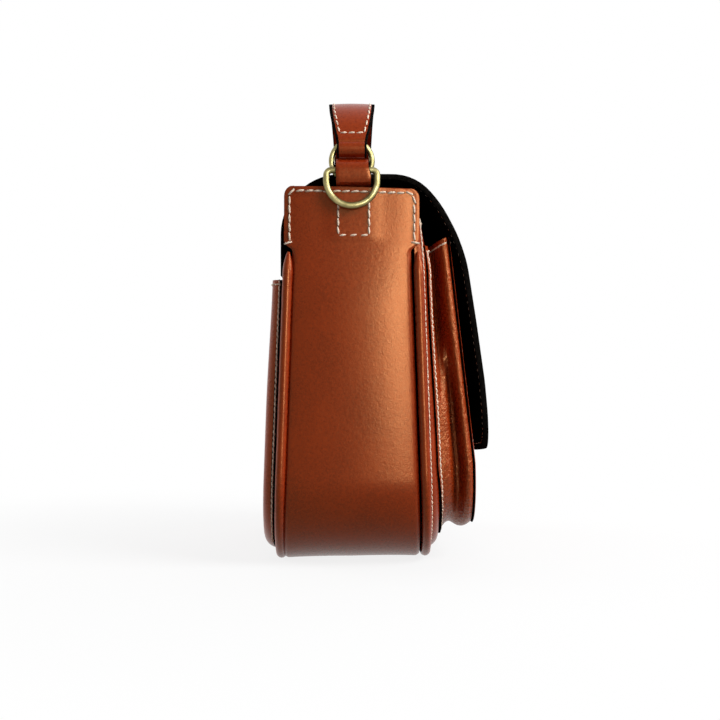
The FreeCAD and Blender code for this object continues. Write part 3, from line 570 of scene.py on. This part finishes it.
frontGrid = panelGrid(onFront, panel["edge"], front["top"], frontRise)
dress(sheet("front_panel_leather", frontGrid, panel["thickness"]), ["front_panel", "front_lining"])
flatGrid = panelGrid(onBack, panel["edge"], back["panelTop"], flatRise)
dress(sheet("back_panel_leather", flatGrid, panel["thickness"], flip=True), ["back_panel", "back_lining"])
backGrid = panelGrid(onBack, back["edge"], back["top"], backRise)
dress(sheet("back_pocket_leather", backGrid, back["thickness"], flip=True, painted=2), ["back_pocket"])
backFacing = gridNormals(backGrid, flip=True)
sewMouth(backGrid, backFacing, back["mouthInset"])
sewSides("bag", backGrid, backFacing, back["sewInset"], 6, None, fineStitch)
frontFacing = gridNormals(frontGrid)
sewMouth(frontGrid, frontFacing, front["mouthInset"])
sewSides("bag", frontGrid, frontFacing, front["sewInset"], 5, None, fineStitch)
print("panels made")

# front pocket: a bellows strip and a stiff front
pocket = {"half": 108.0, "low": 23.0, "corner": 36.0, "top": 190.0, "depthTop": 9.5, "depthLow": 20.0,
          "thickness": 1.6, "seat": 0.15, "flangeRound": 0.5, "flange": (8.8, 7.8, 6.8, 6.0), "endGap": 0.1,
          "foldFade": (85, 150), "mouthDrop": 5.0, "mouthFade": (150, 190), "flangeInset": 1.9,
          "hemInset": 3.0, "frontEdge": (111.0, 20.0, 39.0), "frontThickness": 1.8, "frontGap": 0.2,
          "edgeDip": 0.5, "edgeRound": 2.5, "mouthInset": 3.0, "sewInset": 4.4, "sewDrop": 5.0,
          "sewStep": 4.0, "rowStep": 3.0}
# the fold across the strip: shares of its depth, and how far it stands out at the top, lower down and below
bellowsShares = np.array([0, 0.02, 0.05, 0.08, 0.12, 0.18, 0.26, 0.34, 0.42, 0.50, 0.58, 0.66, 0.74, 0.82,
                          0.88, 0.94, 1.0])
bellowsHigh = np.array([5.6, 4.8, 1.5, -3.5, -8.0, -10.5, -9.5, -6.0, -2.2, 0.4, 2.2, 3.4, 4.1, 4.3, 4.1,
                        3.6, 2.8])
bellowsLow = np.array([5.6, 5.5, 5.4, 5.2, 5.0, 4.6, 3.9, 2.4, -2.5, -7.0, -6.5, -0.5, 3.0, 4.5, 4.6,
                       4.0, 2.8])
bellowsBase = np.array([5.6, 5.2, 4.6, 4.0, 3.2, 2.3, 1.7, 2.0, 2.9, 3.9, 4.6, 4.9, 4.9, 4.5, 4.0,
                        3.3, 2.6])


def pocketDepth(v):
    bend = pocket["low"] + pocket["corner"]
    slope = (pocket["depthLow"] - pocket["depthTop"]) / (pocket["top"] - bend)
    return pocket["depthLow"] - slope * max(v - bend, 0)


def bellowsGrid():
    heights = list(np.arange(pocket["top"], pocket["low"] + pocket["corner"] + 1, -pocket["rowStep"]))
    points, out = uPath(pocket["half"], pocket["low"], pocket["corner"], heights, arcSteps=20, baseSteps=30)
    flange = np.array(pocket["flange"])
    drop = pocket["mouthDrop"] * np.concatenate([np.ones(len(flange)), 1 - bellowsShares])
    rows = []
    for (x, v), (outX, outV) in zip(points, out):
        # the flange lies on the panel's round shoulder
        under = [frontRise(fromEdge(x + outX * a, v + outV * a, *panel["edge"]), v) for a in flange]
        stand = np.array(under) + pocket["thickness"] + pocket["seat"]
        start = stand[-1] + pocket["flangeRound"]
        end = front["bulge"] + pocket["endGap"] + pocketDepth(v)
        stand = np.concatenate([stand, start + bellowsShares * (end - start)])
        fold = bellowsLow + (bellowsHigh - bellowsLow) * smooth(*pocket["foldFade"], v)
        away = np.concatenate([flange, fold + (bellowsBase - fold) * outV * outV])
        up = v + outV * away - drop * smooth(*pocket["mouthFade"], v)
        rows.append(onFront(x + outX * away, stand, up))
    return np.array(rows)


def pocketRise(inset, v):
    face = front["bulge"] + pocket["frontGap"] + pocketDepth(v) + pocket["frontThickness"]
    return face - pocket["edgeDip"] * (1 - rounded(inset, pocket["edgeRound"]))


def pocketSeam():
    # down one side of the stiff front, along its base and up the other side
    inset = pocket["sewInset"]
    half, low, corner = pocket["frontEdge"]
    heights = list(np.arange(pocket["top"] - pocket["sewDrop"], low + corner, -pocket["sewStep"]))
    points = uPath(half - inset, low + inset, corner - inset, heights)[0]
    return np.array([onFront(x, pocketRise(inset, v), v) for x, v in points])


pocketGrid = bellowsGrid()
# the bellows take the lighter creased calf: painted light over real creases
dress(sheet("pocket_bellows", pocketGrid, pocket["thickness"], (creasedTanPaintedLit, lining, black), flip=True),
      ["front_pocket_gusset"])
pocketFacing = gridNormals(pocketGrid, flip=True)
sew("bag", *insetRun(pocketGrid, pocketFacing, pocket["flangeInset"], 1, -1), fineStitch)
sewSides("bag", pocketGrid.transpose(1, 0, 2), pocketFacing.transpose(1, 0, 2), pocket["hemInset"],
         len(pocket["flange"]), -1, fineStitch)
stiffGrid = panelGrid(onFront, pocket["frontEdge"], pocket["top"], pocketRise)
dress(sheet("pocket_front", stiffGrid, pocket["frontThickness"]), ["front_pocket_panel"])
stiffSeam = pocketSeam()
sew("bag", stiffSeam, np.tile(onFront(0, 1, 0) - onFront(0, 0, 0), (len(stiffSeam), 1)), sunkStitch)
sewMouth(stiffGrid, gridNormals(stiffGrid), pocket["mouthInset"])
print("front pocket made")

# flap: one leather from the back panel over the mouth and down the front
flap = {"half": 113.0, "tailLow": 168.0, "back": 41.19, "top": 227.0, "rearBend": 35.0, "crease": 23.2,
        "creaseGap": 0.3, "shoulder": 30.0, "shoulderTurn": 45.0, "breast": 80.0, "slope": 0.128,
        "low": 62.5, "profileLow": 50.0, "corner": 28.0, "cornerRoom": 8.0, "sweep": 900.0,
        "thickness": 3.0, "fallAfter": 60.0, "straightFrom": 100.0, "sideRows": 66, "hemRows": 16,
        "bendZone": 9.0, "sewInset": 4.0, "sewGap": 2.0, "tailStep": 3.5,
        "hangUp": [62, 85, 107, 140, 171, 185, 200, 214, 227],
        "hangIn": [0.6, -0.4, -1.2, -0.8, 0, 0.9, 1.3, 0.5, 0]}


def flapProfile():
    # (y, z) of the outer face from the tail behind to below the front edge
    top, rear, start = flap["top"], flap["rearBend"], flap["crease"] + flap["creaseGap"]
    turn = math.radians(flap["shoulderTurn"])
    last = quarter - math.atan(flap["slope"])
    line = [(flap["back"], z) for z in np.arange(flap["tailLow"], top - rear, flap["tailStep"])]
    line += arc((flap["back"] - rear, top - rear), rear, np.linspace(0, quarter, 16))
    line += [(y, top) for y in np.linspace(flap["back"] - rear, -start, 12)[1:-1]]
    line += arc((-start, top - flap["shoulder"]), flap["shoulder"], quarter + np.linspace(0, turn, 10))
    more = flap["breast"] - flap["shoulder"]
    centre = (-start + more * math.sin(turn), top - flap["shoulder"] - more * math.cos(turn))
    line += arc(centre, flap["breast"], quarter + np.linspace(turn, last, 18)[1:])
    endY, endZ = line[-1]
    line += [(endY - (endZ - z) * flap["slope"], z) for z in np.linspace(endZ, flap["profileLow"], 40)[1:]]
    line = np.array(line)
    hang = np.interp(line[:, 1], flap["hangUp"], flap["hangIn"])
    line[:, 0] += np.where(line[:, 0] < -start, hang, 0)  # the leather has settled into its own curve
    return line


def flapLowest(x, inset=0.0):
    # the front edge, or a line inside it: one long sweep between two round corners
    corner, sweep = flap["corner"] - inset, flap["sweep"] - inset
    half, low = flap["half"] - inset, flap["low"] + inset
    across = (half - corner) / (sweep - corner)
    upright = math.sqrt(1 - across * across)
    if abs(x) <= sweep * across:
        return low + sweep - math.sqrt(sweep ** 2 - x * x)
    sideUp = low + sweep * (1 - upright) + corner * upright
    return sideUp - math.sqrt(max(corner ** 2 - (abs(x) - half + corner) ** 2, 0))


def flapGrid():
    line = flapProfile()
    run = runLength(line)
    falling = run >= run[line[:, 1].argmax()] + flap["fallAfter"]
    fixedRun = np.interp(-flap["straightFrom"], -line[falling, 1], run[falling])
    corner = flap["corner"] * (1 - np.cos(np.linspace(0, quarter, 12)))
    middle = flap["half"] - flap["corner"] - flap["cornerRoom"]
    columns = []
    for x in (*(corner - flap["half"]), *np.linspace(-middle, middle, 17), *(flap["half"] - corner[::-1])):
        endRun = np.interp(-flapLowest(x), -line[falling, 1], run[falling])
        stops = np.concatenate([np.linspace(0, fixedRun, flap["sideRows"]),
                                np.linspace(fixedRun, endRun, flap["hemRows"])[1:]])
        columns.append(np.column_stack([np.full_like(stops, x), pointsAt(stops, run, line)]))
    return np.array(columns).transpose(1, 0, 2)


def flapSeam():
    # down one side, along the front edge and up the other side
    inset = flap["sewInset"]
    half, corner = flap["half"] - inset, flap["corner"] - inset
    side, sideFacing = insetRun(flapShape, flapFacing, inset, flapRow, flap["sideRows"])
    x = [-half + corner - corner * math.cos(a) for a in np.linspace(0, quarter, 14)]
    x += list(np.linspace(-half + corner, 0, 24)[1:])
    line = flapProfile()[-30:]  # its straight part
    z = np.array([flapLowest(across, inset) for across in x])
    edge = np.stack([x, np.interp(-z, -line[:, 1], line[:, 0]), z], -1)
    edgeFacing = np.tile(np.array([0, -1, flap["slope"]]), (len(x), 1))
    points, facing = np.concatenate([side, edge]), np.concatenate([sideFacing, edgeFacing])
    flip = np.array([-1, 1, 1])
    return np.concatenate([points, points[-2::-1] * flip]), np.concatenate([facing, facing[-2::-1] * flip])


flapShape = flapGrid()
flapLeather = sheet("flap_leather", flapShape, flap["thickness"], flip=True, bevel=0.5)
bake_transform(flapLeather)
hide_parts("flap_crown", "flap_front", "crown_lining", "flap_lining")
# the seams stop short of the zone that bends
flapFacing = gridNormals(flapShape, flip=True)
flapRow = int(np.argmax(flapShape[:, 0, 1] < -flap["crease"] - flap["bendZone"] - flap["sewGap"]))
creaseRow = int(np.argmax(flapShape[:, 0, 1] < -flap["crease"] + flap["bendZone"]))
sewSides("bag", flapShape, flapFacing, flap["sewInset"], 1, creaseRow, sunkStitch)
seamPoints, seamFacing = flapSeam()
sew("flap", seamPoints, seamFacing, sunkStitch)
sew("flap", seamPoints - seamFacing * flap["thickness"], -seamFacing, liningStitch)  # the same seam, inside
print("flap made")

# ring tabs: a strap folded over both rings, its tail sewn behind the side wall
tab = {"middle": 122.2, "half": 6.374, "tailOut": 122.3, "tailIn": 120.4, "neck": 218.2, "innerNeck": 215.6,
       "belly": 221.4, "top": 233.6, "width": 19.0, "spread": 1.3, "nip": (230.1, 222.6), "shift": -1.0,
       "topShift": 0.2, "thickness": 1.5, "tailLow": 200.0}


def tabLine():
    # (x, z) up the outer ply, round the fold and down the inner ply
    outer, inner = tab["middle"] + tab["half"], tab["middle"] - tab["half"]
    neck, innerNeck, belly = tab["neck"], tab["innerNeck"], tab["belly"]
    line = [(tab["tailOut"], z) for z in np.linspace(tab["tailLow"], neck - 0.6, 5)]
    line += [(tab["tailOut"] + 2.2, neck + 0.7), (outer - 0.9, belly - 1.4), (outer, belly + 1.2)]
    line += arc((tab["middle"], tab["top"] - tab["half"]), tab["half"], np.linspace(0, math.pi, 17))
    line += [(inner, belly), (inner + 0.9, belly - 2.8), (tab["tailIn"] - 1.5, innerNeck + 0.9)]
    return line + [(tab["tailIn"], z) for z in np.linspace(innerNeck - 0.6, tab["tailLow"], 5)]


def makeTab(name, hand, node):
    rows = []
    for x, z in tabLine():
        low = smooth(*tab["nip"], z)  # the fold is nipped in where it passes the ring
        shift = tab["shift"] * (tab["topShift"] + (1 - tab["topShift"]) * low)
        across = np.linspace(-0.5, 0.5, 9) * (tab["width"] + tab["spread"] * low) + shift
        rows.append([(hand * x, y, z) for y in across])
    dress(sheet(name, np.array(rows), tab["thickness"], (tan, tanRaw, black), flip=hand < 0), [node])


makeTab("left_tab", -1, "left_ring_tab")
makeTab("right_tab", 1, "right_ring_tab")

# rings of bent wire, closed by a soldered joint
ring = {"out": 120.0843, "centre": 233.1, "radius": 11.6, "wire": 1.6, "points": 72, "sides": 18,
        "strapOut": 124.8741, "barUp": 227.2, "strapHalf": 14.4, "strapWire": 1.9, "strapDrop": 20.7,
        "strapCorner": 3.0, "strapLean": 7.0}


def strapLoop():
    # bar along Y at the top, two short legs, then a half round below
    half, corner = ring["strapHalf"], ring["strapCorner"]
    line = [(y, 0.0) for y in np.linspace(corner - half, half - corner, 9)]
    line += arc((half - corner, -corner), corner, np.linspace(quarter, 0, 8)[1:])
    line += arc((0, half - ring["strapDrop"]), half, np.linspace(0, -math.pi, 40))
    return line + arc((corner - half, -corner), corner, np.linspace(math.pi, quarter, 8)[:-1])


def bendRing(sideName, name, loop, wire, normal, node):
    # the body of a ring has the name of its node
    body = sideName + "_" + node
    obj = tube(sideName + "_" + name, loop, wire, normal, brass, closed=True, sides=ring["sides"])
    dress(obj, [body], body)


for sideName, hand in (("left", -1), ("right", 1)):
    turns = np.linspace(0, 2 * math.pi, ring["points"], endpoint=False)
    loop = arc((0, ring["centre"]), ring["radius"], turns)
    bendRing(sideName, "round_ring", [(hand * ring["out"], y, z) for y, z in loop], ring["wire"], (1, 0, 0),
             "handle_ring")
    tilt = math.radians(ring["strapLean"])
    loop = [(hand * (ring["strapOut"] - up * math.sin(tilt)), y, ring["barUp"] + up * math.cos(tilt))
            for y, up in strapLoop()]
    bendRing(sideName, "half_ring", loop, ring["strapWire"], (math.cos(tilt), 0, hand * math.sin(tilt)),
             "strap_ring")
print("tabs and rings made")

# handle: a top leather folded round the rings over a stiff padded core
handle = {"out": 120.0843, "pivot": 243.1, "lean": 26.0, "straight": 8.2, "bend": 28.0, "arch": 900.0,
          "outer": 5.2, "thickness": 1.6, "drop": 3.5, "dent": 0.7, "dentAt": -1.9, "dentWidth": 0.8,
          "dentRows": (-3.0, -2.5, -1.9, -1.3, -0.8, -0.3), "crossRow": 249.0,
          "taperUp": [243.5, 247, 252, 258, 264, 270], "taperHalf": [8.5, 9.2, 10.7, 12.0, 13.0, 13.5],
          "crown": 0.5, "under": 3.5, "padThickness": 6.9, "padStart": 3.6, "padInset": 0.5,
          "sewInset": 2.9}


def strapPoint(along, out):
    turn = math.radians(handle["lean"])
    return (handle["out"] - along * math.sin(turn) + out * math.cos(turn),
            handle["pivot"] + along * math.cos(turn) + out * math.sin(turn))


def handleHalf(out, start):
    # the right half of the handle's side line, from a point up the strap to the middle of the arch
    turn = math.radians(handle["lean"])
    bendX, bendZ = strapPoint(handle["straight"], -handle["bend"])
    more = handle["arch"] - handle["bend"]
    archTurn = math.asin(bendX / more)
    archZ = bendZ - more * math.cos(archTurn)
    line = [strapPoint(along, out) for along in np.linspace(start, handle["straight"], 7)]
    line += arc((bendX, bendZ), handle["bend"] + out, np.linspace(turn, quarter - archTurn, 18)[1:])
    return line + arc((0, archZ), handle["arch"] + out, np.linspace(quarter - archTurn, quarter, 22)[1:])


def handleGrid(line, inset, crown):
    line = np.array(line)
    ahead = np.gradient(line, axis=0)
    ahead /= np.linalg.norm(ahead, axis=1)[:, None]
    shares = np.concatenate([[-1], np.linspace(-0.86, 0.86, 13), [1]])
    rows = []
    for (x, z), (aheadX, aheadZ) in zip(line, ahead):
        half = np.interp(z, handle["taperUp"], handle["taperHalf"]) - inset
        lift = crown * smooth(handle["taperUp"][0], handle["taperUp"][-1], z) * (1 - shares ** 2)
        rows.append(np.stack([x + aheadZ * lift, shares * half, z - aheadX * lift], -1))
    return np.array(rows)


def foldLine():
    # down the inner ply, round the ring and up to the dent above it, where the plies meet
    far = handle["outer"]
    line = [strapPoint(along, -far) for along in (handle["straight"] - 0.1, 6, 0)]
    line += [strapPoint(-handle["drop"] - far * math.sin(a), -far * math.cos(a))
             for a in np.linspace(0, math.pi, 17)]
    for along in handle["dentRows"]:
        dent = handle["dent"] * math.exp(-((along - handle["dentAt"]) / handle["dentWidth"]) ** 2)
        line.append(strapPoint(along, far - dent))
    return line


topGrid = handleGrid(mirrored(foldLine() + handleHalf(handle["outer"], 0.0)), 0.0, handle["crown"])
dress(sheet("handle_leather", topGrid, handle["thickness"], (tan, tanRaw, black), painted=1),
      ["handle_top"], "handle")
padGrid = handleGrid(mirrored(handleHalf(-handle["under"], handle["padStart"])), handle["padInset"], 0.0)
handlePad = sheet("handle_padding", padGrid, handle["padThickness"], (tanRaw, black, black), flip=True,
                  bevel=0.6)
dress(handlePad, ["handle_underside", "handle_core"], "handle")
topFacing = gridNormals(topGrid)
foldCount, middle = len(foldLine()), topGrid.shape[1] // 2
crossRow = foldCount + int(np.argmax(topGrid[foldCount:, middle, 2] > handle["crossRow"]))
sewSides("handle", topGrid, topFacing, handle["sewInset"], crossRow, -crossRow, flatStitch)
for row in (crossRow, len(topGrid) - crossRow - 1):
    sew("handle", topGrid[row][2:-2], topFacing[row][2:-2], flatStitch)
print("handle made")


# stitches: a bent thread and, at its end, a black disc of painted shade for the shadow in its hole, on
# every resampled point of the runs
def stitchTree():
    tree = bpy.data.node_groups.new("saddle stitches", "GeometryNodeTree")
    sockets = {}
    for name, kind in (("Geometry", "Geometry"), ("Slant", "Float"), ("Wander", "Float"), ("Seed", "Int"),
                       ("Finish", "Material"), ("Painted hole shade", "Material")):
        socket = tree.interface.new_socket(name, in_out="INPUT", socket_type="NodeSocket" + kind)
        sockets[name] = socket.identifier
    tree.interface.new_socket("Geometry", in_out="OUTPUT", socket_type="NodeSocketGeometry")
    given = addNode(tree, "NodeGroupInput").outputs

    named = {}
    for name, kind in (("pitch", "FLOAT"), ("span", "FLOAT"), ("gauge", "FLOAT"),
                       ("outward", "FLOAT_VECTOR"), ("hole", "BOOLEAN")):
        reader = addNode(tree, "GeometryNodeInputNamedAttribute", {"Name": name}, data_type=kind)
        named[name] = reader.outputs["Attribute"]
    curve = addNode(tree, "GeometryNodeMeshToCurve", {"Mesh": given["Geometry"]})
    even = addNode(tree, "GeometryNodeResampleCurve", {
        "Curve": curve, "Length": named["pitch"]}, mode="LENGTH")
    bent = addNode(tree, "GeometryNodeCurveQuadraticBezier", {
        "Resolution": 6, "Start": (-0.5, 0, -0.4), "Middle": (0, 0, 0.75), "End": (0.5, 0, -0.4)})
    section = addNode(tree, "GeometryNodeCurvePrimitiveCircle", {"Resolution": 6, "Radius": 0.5})
    stitch = addNode(tree, "GeometryNodeCurveToMesh", {
        "Curve": bent, "Profile Curve": section, "Fill Caps": True})
    # the hole is a flat black disc, painted shade that stands in for the shadow inside the stitch hole
    hole = addNode(tree, "GeometryNodeMeshCircle", {"Vertices": 8, "Radius": 0.5}, fill_type="NGON")
    hole = addNode(tree, "GeometryNodeTransform", {
        "Geometry": hole, "Translation": (0.75, 0, 0.05), "Scale": (0.36, 0.75, 1)})
    hole = addNode(tree, "GeometryNodeStoreNamedAttribute", {
        "Geometry": hole, "Name": "hole", "Value": True}, data_type="BOOLEAN", domain="FACE")
    pair = addNode(tree, "GeometryNodeJoinGeometry", {"Geometry": stitch})
    setInputs(tree, pair, {"Geometry": hole})
    ahead = addNode(tree, "GeometryNodeInputTangent")
    facing = addNode(tree, "FunctionNodeAxesToRotation", {0: named["outward"], 1: ahead},
                     primary_axis="Z", secondary_axis="X")
    chance = addNode(tree, "FunctionNodeRandomValue", {
        2: -1.0, 3: 1.0, "Seed": given["Seed"]}, data_type="FLOAT")
    swing = addNode(tree, "ShaderNodeMath", {
        0: chance.outputs[1], 1: given["Wander"], 2: given["Slant"]}, operation="MULTIPLY_ADD")
    spin = addNode(tree, "FunctionNodeAxisAngleToRotation", {"Axis": (0, 0, 1), "Angle": swing})
    turned = addNode(tree, "FunctionNodeRotateRotation", {
        "Rotation": facing, "Rotate By": spin}, rotation_space="LOCAL")
    size = addNode(tree, "ShaderNodeCombineXYZ", {
        "X": named["span"], "Y": named["gauge"], "Z": named["gauge"]})
    placed = addNode(tree, "GeometryNodeInstanceOnPoints", {
        "Points": even, "Instance": pair, "Rotation": turned, "Scale": size})
    real = addNode(tree, "GeometryNodeRealizeInstances", {"Geometry": placed})
    coloured = addNode(tree, "GeometryNodeSetMaterial", {"Geometry": real, "Material": given["Finish"]})
    pierced = addNode(tree, "GeometryNodeSetMaterial", {
        "Geometry": coloured, "Material": given["Painted hole shade"], "Selection": named["hole"]})
    addNode(tree, "NodeGroupOutput", {"Geometry": pierced})
    return tree, sockets


# the holes wear the black edge paint as painted shade
stitchSettings = {"Slant": 0.10, "Wander": 0.05, "Seed": 7, "Finish": thread, "Painted hole shade": black}
stitchNodes, stitchInputs = stitchTree()
for body, runs in stitchRuns.items():
    verts, edges, facing, pitch, span, gauge = [], [], [], [], [], []
    for points, normals, style, fitted in runs:
        start, count = len(verts), len(points)
        verts += list((points + normals * style["lift"]) * mm)
        edges += [(start + k, start + k + 1) for k in range(count - 1)]
        facing += list(normals)
        pitch += [fitted * mm] * count
        span += [style["pitch"] * style["share"] * mm] * count
        gauge += [style["thread"] * mm] * count
    mesh = bpy.data.meshes.new(body + "_stitches")
    mesh.from_pydata([tuple(v) for v in verts], edges, [])
    outward = mesh.attributes.new("outward", "FLOAT_VECTOR", "POINT")
    outward.data.foreach_set("vector", np.array(facing).ravel())
    for label, values in (("pitch", pitch), ("span", span), ("gauge", gauge)):
        mesh.attributes.new(label, "FLOAT", "POINT").data.foreach_set("value", values)
    sewn = addObject(body + "_stitches", mesh)
    needle = sewn.modifiers.new("stitches", "NODES")
    needle.node_group = stitchNodes
    for label, value in stitchSettings.items():
        needle[stitchInputs[label]] = value
    finishMesh(sewn, 80)
    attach(sewn, body)
    print("stitches on", body, len(sewn.data.polygons), "faces")

# the snap keeps its CAD shape
for node in ("snap_socket", "snap_socket_washer", "snap_stud", "snap_stud_washer"):
    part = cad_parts[node]
    part.data.materials.clear()
    part.data.materials.append(brass)

# floor, light and camera, in metres and watts
floorSet = {"size": 6.0, "whiteNear": 0.14, "whiteFar": 0.45, "nearShare": 0.84,
            "thrownBack": 0.26, "seen": 0.72}
worldSet = {"near": 0.02, "far": 0.4}
lamps = {  # place, aim, size, power, and what it lights
    "key": ((-0.64, -1.08, 0.86), (-0.03, -0.02, 0.13), (0.9, 0.9), 29.0, "both"),
    "sheen": ((-1.19, -0.37, 0.31), (-0.12, -0.02, 0.14), (0.26, 0.55), 11.5, "gloss"),
    "top": ((0.1, 0.2, 1.35), (0, 0, 0.1), (1.0, 1.0), 2.5, "fill"),
    "rear": ((0.6, 1.25, 0.4), (0, 0, 0.12), (0.9, 0.6), 12.0, "fill"),
    "far": ((1.25, -0.35, 0.55), (0.1, 0, 0.12), (0.9, 0.9), 11.0, "fill"),
}
eye = {"place": (-0.823, -0.002, 0.1087), "aim": (-0.124, -0.0047, 0.1190), "lens": 61.4, "sensor": 36.0}


def makeFloor():
    half = floorSet["size"] / 2
    mesh = bpy.data.meshes.new("floor")
    corners = [(-half, -half, 0), (half, -half, 0), (half, half, 0), (-half, half, 0)]
    mesh.from_pydata(corners, [], [(0, 1, 2, 3)])
    material = bpy.data.materials.new("pale studio floor")
    tree = emptyTree(material)
    place = addNode(tree, "ShaderNodeTexCoord").outputs["Object"]
    reach = addNode(tree, "ShaderNodeVectorMath", {0: place}, operation="LENGTH").outputs["Value"]
    fade = addNode(tree, "ShaderNodeMapRange", {
        "Value": reach, "From Min": floorSet["whiteNear"], "From Max": floorSet["whiteFar"],
        "To Min": floorSet["nearShare"], "To Max": 1.0})
    path = addNode(tree, "ShaderNodeLightPath").outputs
    seen = addNode(tree, "ShaderNodeMath", {
        0: path["Is Camera Ray"], 1: path["Is Glossy Ray"]}, operation="MAXIMUM")
    share = addNode(tree, "ShaderNodeMath", {0: seen, 1: fade}, operation="MULTIPLY")
    tone = addNode(tree, "ShaderNodeMapRange", {
        "Value": path["Is Camera Ray"], "To Min": floorSet["thrownBack"], "To Max": floorSet["seen"]})
    matt = addNode(tree, "ShaderNodeBsdfDiffuse", {"Color": tone})
    white = addNode(tree, "ShaderNodeEmission", {"Color": (1, 1, 1, 1), "Strength": 1.0})
    mixed = addNode(tree, "ShaderNodeMixShader", {0: share, 1: matt, 2: white})
    addNode(tree, "ShaderNodeOutputMaterial", {"Surface": mixed})
    mesh.materials.append(material)
    addObject("floor", mesh)


def makeWorld():
    # white to the eye and in reflections, a dim light from the far side for the rest
    world = bpy.data.worlds.new("studio")
    tree = emptyTree(world)
    path = addNode(tree, "ShaderNodeLightPath").outputs
    seen = addNode(tree, "ShaderNodeMath", {
        0: path["Is Camera Ray"], 1: path["Is Transmission Ray"]}, operation="MAXIMUM")
    seen = addNode(tree, "ShaderNodeMath", {0: seen, 1: path["Is Glossy Ray"]}, operation="MAXIMUM")
    towards = addNode(tree, "ShaderNodeTexCoord").outputs["Generated"]
    across = addNode(tree, "ShaderNodeSeparateXYZ", {"Vector": towards}).outputs["X"]
    level = addNode(tree, "ShaderNodeMapRange", {
        "Value": across, "From Min": -1.0, "From Max": 1.0,
        "To Min": worldSet["near"], "To Max": worldSet["far"]})
    dim = addNode(tree, "ShaderNodeBackground", {"Color": (1, 1, 1, 1), "Strength": level})
    bright = addNode(tree, "ShaderNodeBackground", {"Color": (1, 1, 1, 1), "Strength": 1.0})
    mixed = addNode(tree, "ShaderNodeMixShader", {0: seen, 1: dim, 2: bright})
    addNode(tree, "ShaderNodeOutputWorld", {"Surface": mixed})
    bpy.context.scene.world = world


def setUp(name, data, place, aim):
    # puts a lamp or the camera in its place and turns it to its aim
    holder = addObject(name, data)
    holder.location = place
    holder.rotation_euler = (Vector(aim) - Vector(place)).to_track_quat("-Z", "Y").to_euler()
    return holder


makeFloor()
makeWorld()
for name, (place, aim, size, power, reach) in lamps.items():
    light = bpy.data.lights.new(name, "AREA")
    light.shape = "RECTANGLE"
    light.size, light.size_y = size
    light.energy = power
    holder = setUp(name, light, place, aim)
    holder.visible_glossy = reach != "fill"  # the fill lamps leave no glare on the top
    holder.visible_diffuse = reach != "gloss"

camera = bpy.data.cameras.new("camera")
camera.lens = eye["lens"]
camera.sensor_width = eye["sensor"]
camera.clip_start = 0.01
bpy.context.scene.camera = setUp("camera", camera, eye["place"], eye["aim"])
bpy.context.scene.view_settings.view_transform = "Standard"
print("stage set")
